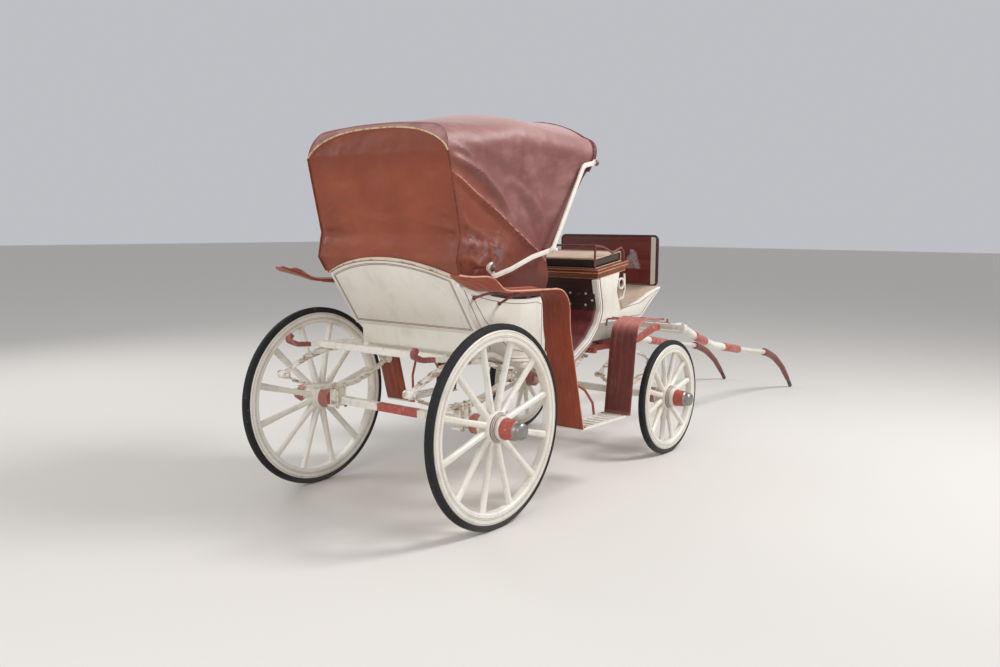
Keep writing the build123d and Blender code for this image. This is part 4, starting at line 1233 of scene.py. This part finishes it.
# %% Lines on the back, the sides and the pillars
panel_up = Vector((-math.sin(back_tilt), 0, math.cos(back_tilt)))
panel_out = Vector((-math.cos(back_tilt), 0, -math.sin(back_tilt)))


def back_border(inset, proud, radius, open_below=False):
    """A cord on the back board, the same distance in from its edges."""
    half, reach = back_half - inset, crest_reach - inset
    top = [(half * (1 - i / 12), crest_centre + math.sqrt(reach**2 - (half * (1 - i / 12)) ** 2)) for i in range(25)]
    border = top if open_below else [(half, inset)] + top + [(-half, inset)]
    places = [at(back_low[0], y, back_low[1]) + panel_up * s + panel_out * proud for y, s in border]
    return cord(places, radius, closed=not open_below)


line_r = 0.0016
coach_lines = [back_border(inset, 0.0004, line_r) for inset in (0.028, 0.036)]
coach_lines.append(back_border(0.008, 0.0004, 0.0020, open_below=True))
dress([back_border(0.003, -0.001, 0.0045, open_below=True)], "back_edge_bead", "worn_piping", "body")


def rail_spot(share):
    return Vector(through((0.750, 1.162), (0.434, 1.167), (-0.0487, 1.290), share))


pillar = rounded([(0.158, 0.868), (0.330, 0.826), (0.590, 0.800), (0.850, 0.748), (1.100, 0.748), (1.272, 0.840),
                  (1.362, 0.925), (1.416, 1.035), (1.366, 1.245)], [0.09] * 7)
under_rail = [rail_spot(i / 14) + Vector((0, -0.024)) for i in range(1, 14)]
front_border = [Vector(p) for p in [(0.742, 1.120), (0.742, 0.850), (0.590, 0.848), (0.440, 0.880), (0.330, 0.955),
                                    (0.269, 1.012), (0.210, 1.062), (0.151, 1.135), (0.092, 1.210)]]
strip_rear = [Vector((-0.086 + (1.306 - z) * 0.672 + 0.0265 + 0.044, z)) for z in (1.235, 1.16, 1.08, 0.98, 0.90)]
boot_border = [Vector(p) for p in [(1.620, 1.140), (1.680, 1.030), (1.925, 1.052), (2.065, 1.098), (2.190, 1.134),
                                   (2.062, 1.058), (1.938, 0.968), (1.440, 0.968)]]
panel_lines = [([p for p in under_rail if p.x > 0.10] + front_border[::-1], 0.4503), (strip_rear, 0.4503),
               (boot_border, 0.4503)] + [(beside(pillar, offset), 0.4583) for offset in (-0.014, -0.008, 0.014)]
for side in both_sides:
    for i, (line, y) in enumerate(panel_lines):
        coach_lines.append(cord([at(p.x, side * y, p.y) for p in line], line_r, closed=i == 0))
dress(coach_lines, "coach_lines", "coach_line", "body")

# %% [markdown]
# ## Irons, nuts and nails
#
# The last layer is the smith's: clips that hold the springs to the axles, nuts on the spring bolts,
# domed nuts at the hood's joints, rings turned on the naves, and nails in the boards.

# %% Spring clips, and nuts on the spring bolts
# Columns: x of the spring's middle, half length, leaf, width, across, underside, height of its eyes, axle's height.
spring_sizes = {
    "rear": (-0.020, 0.400, 0.007, 0.045, 0.484, 0.614, 0.744, 0.540),
    "front": (wheelbase, 0.365, 0.006, 0.042, 0.300, 0.435, 0.565, 0.398),
}
for axle, (x, half_length, leaf, width, across, low, eye, axle_z) in spring_sizes.items():
    clips, nuts = [], []
    bottom, top = axle_z - 0.036, low + 4 * leaf + 0.004
    for side in both_sides:
        inner, outer = side * across - width / 2 - 0.006, side * across + width / 2 + 0.006
        for shift in (-0.032, 0.032):
            line = rounded([(inner, bottom), (inner, top), (outer, top), (outer, bottom)], [0.010, 0.010], 3)
            clips.append(cord([at(x + shift, *p) for p in line], 0.0055))
            nuts += [(at(x + shift, y, bottom + 0.002), (0, 0, -1)) for y in (inner, outer)]
        nuts += [(at(x + end * half_length, side * across + face * (width / 2 + 0.011), eye), (0, face, 0))
                 for end in both_sides for face in both_sides]
    body = "body" if axle == "rear" else "fore_carriage"
    dress(clips, axle + "_spring_clips", "spring_iron", body)
    heads(nuts, 0.011, 0.008, axle + "_spring_nuts", "spring_iron", body)

# %% Rings on the naves
# Columns: radius, and depth outside the wheel's middle.
nave_rings = [(0.0765, 0.022), (0.0700, 0.029), (0.0635, 0.036), (0.0625, 0.048),
              (0.0785, -0.036), (0.0750, -0.048), (0.0715, -0.060)]
for axle in ("front", "rear"):
    for side, hand in ((1, "left"), (-1, "right")):
        rings = []
        for reach, depth in nave_rings:
            middle = at(wheel_x[axle], side * (half_track[axle] + depth), wheel_z[axle])
            bpy.ops.mesh.primitive_torus_add(major_segments=48, minor_segments=8, major_radius=reach,
                                             minor_radius=0.0032, rotation=(math.pi / 2, 0, 0), location=middle)
            rings.append(bpy.context.object)
        wheel = axle + "_" + hand
        dress(rings, "nave_rings_" + wheel, "wheel_" + axle, "wheel_" + wheel)

# %% Domed nuts, curls, sleeves, bolts and nails
heads([(at(elbow[0], side * 0.629, elbow[1]), (0, side, 0)) for side in both_sides],
      0.015, 0.009, "elbow_nuts", "white_iron", "body")
heads([(at(0.045, side * 0.627, 1.360), (0, side, 0)) for side in both_sides],
      0.020, 0.015, "rear_knobs", "knob_iron", "body")
turns = [math.radians(-50 - 15 * i) for i in range(16)]
curls = [cord([at(0.047 + 0.023 * math.cos(a), side * 0.622, 1.360 + 0.023 * math.sin(a)) for a in turns], 0.0085)
         for side in both_sides]
dress(curls, "prop_curls", "white_iron", "body")
heads([(at(1.050, side * 0.616, 1.952), (0.75, side, 0)) for side in both_sides],
      0.019, 0.024, "arm_balls", "knob_iron", "hood_front")

# Places in x and z along a shaft's curved end.
sleeve = [(4.478, 0.428), (4.530, 0.418), (4.640, 0.383), (4.739, 0.348), (4.850, 0.289), (4.955, 0.228),
          (5.060, 0.142), (5.115, 0.095)]
sleeves = [cord([at(x, side * 0.350, z) for x, z in sleeve], 0.035, taper=0.62) for side in both_sides]
dress(sleeves, "shaft_sleeves", "sleeve_leather", "shafts")
nails = [(-0.36 + i * 0.12, z) for i in range(7) for z in (1.068, 1.142)] + [(-0.41, 1.10), (0.41, 1.10)]
heads([(at(1.3672, y, z), (-1, 0, 0)) for y, z in nails],
      0.0085, 0.006, "toe_board_nails", "pale_nail", "body")
heads([(at(x, side * y, 0.4178), (0, 0, 1)) for x in (0.742, 1.168) for y in (0.622, 0.768) for side in both_sides],
      0.008, 0.005, "tread_bolts", "bright_bolt", "body")
heads([(at(wheelbase + 0.663, y, 0.8318), (0, 0, 1)) for y in (-0.40, -0.29, -0.16, 0.16, 0.29, 0.40)],
      0.011, 0.008, "splinter_bolts", "bright_bolt", "fore_carriage")

# %% [markdown]
# ## Light, floor and camera
#
# The camera stands where the photographer's did, low behind the right wheel. Its place and turn
# come from fitting a pinhole camera to the wheels. A large soft lamp high on the right and in front
# gives the sunlit roof and the shaded back, and a pale world fills the shadows.

# %% Camera
eye = at(-3.630, -3.533, 1.579)
heading, tilt, roll = math.radians(37.811), math.radians(-6.805), math.radians(0.403)
forward = Vector((math.cos(tilt) * math.cos(heading), math.cos(tilt) * math.sin(heading), math.sin(tilt)))
right = forward.cross(Vector((0, 0, 1))).normalized()
up = right.cross(forward)
camera_right = math.cos(roll) * right + math.sin(roll) * up
camera_up = math.cos(roll) * up - math.sin(roll) * right
camera_data = bpy.data.cameras.new("camera")
camera_data.sensor_width = 36
camera_data.lens = 32.635
camera = bpy.data.objects.new("camera", camera_data)
bpy.context.scene.collection.objects.link(camera)
camera.matrix_world = Matrix((
    (camera_right.x, camera_up.x, -forward.x, eye.x), (camera_right.y, camera_up.y, -forward.y, eye.y),
    (camera_right.z, camera_up.z, -forward.z, eye.z), (0, 0, 0, 1)))
bpy.context.scene.camera = camera


# %% Lamps, world and floor
def lamp(name, place, target, size, power):
    data = bpy.data.lights.new(name, "AREA")
    data.shape, data.size, data.energy = "DISK", size, power
    light = bpy.data.objects.new(name, data)
    bpy.context.scene.collection.objects.link(light)
    light.location = place
    light.rotation_mode = "QUATERNION"
    light.rotation_quaternion = (target - place).to_track_quat("-Z", "Y")


lamp("key", at(3.5, -4.5, 6.5), at(0.8, 0, 0.9), 2.5, 430)
lamp("fill", at(-6.0, -1.5, 4.0), at(0.2, 0, 1.0), 4.0, 170)
lamp("left", at(0.5, 6.5, 4.5), at(0.8, 0, 0.8), 4.0, 130)

world = bpy.data.worlds.new("studio")
bpy.context.scene.world = world
world.use_nodes = True
background = world.node_tree.nodes["Background"].inputs
background["Color"].default_value = (0.94, 0.95, 1.0, 1.0)
background["Strength"].default_value = 0.55

bpy.ops.mesh.primitive_plane_add(size=120, location=(0, 0, 0))
floor = bpy.context.object
floor.name = "floor"
floor.data.materials.append(Finish("pale floor", tone(214, 210, 203)).done(0.9))
floor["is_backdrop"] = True
bpy.context.scene.view_settings.view_transform = "Standard"

# %% Measure the size of the visual model
low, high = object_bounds()
list(low)
print("the visual model runs from", tuple(low), "to", tuple(high))
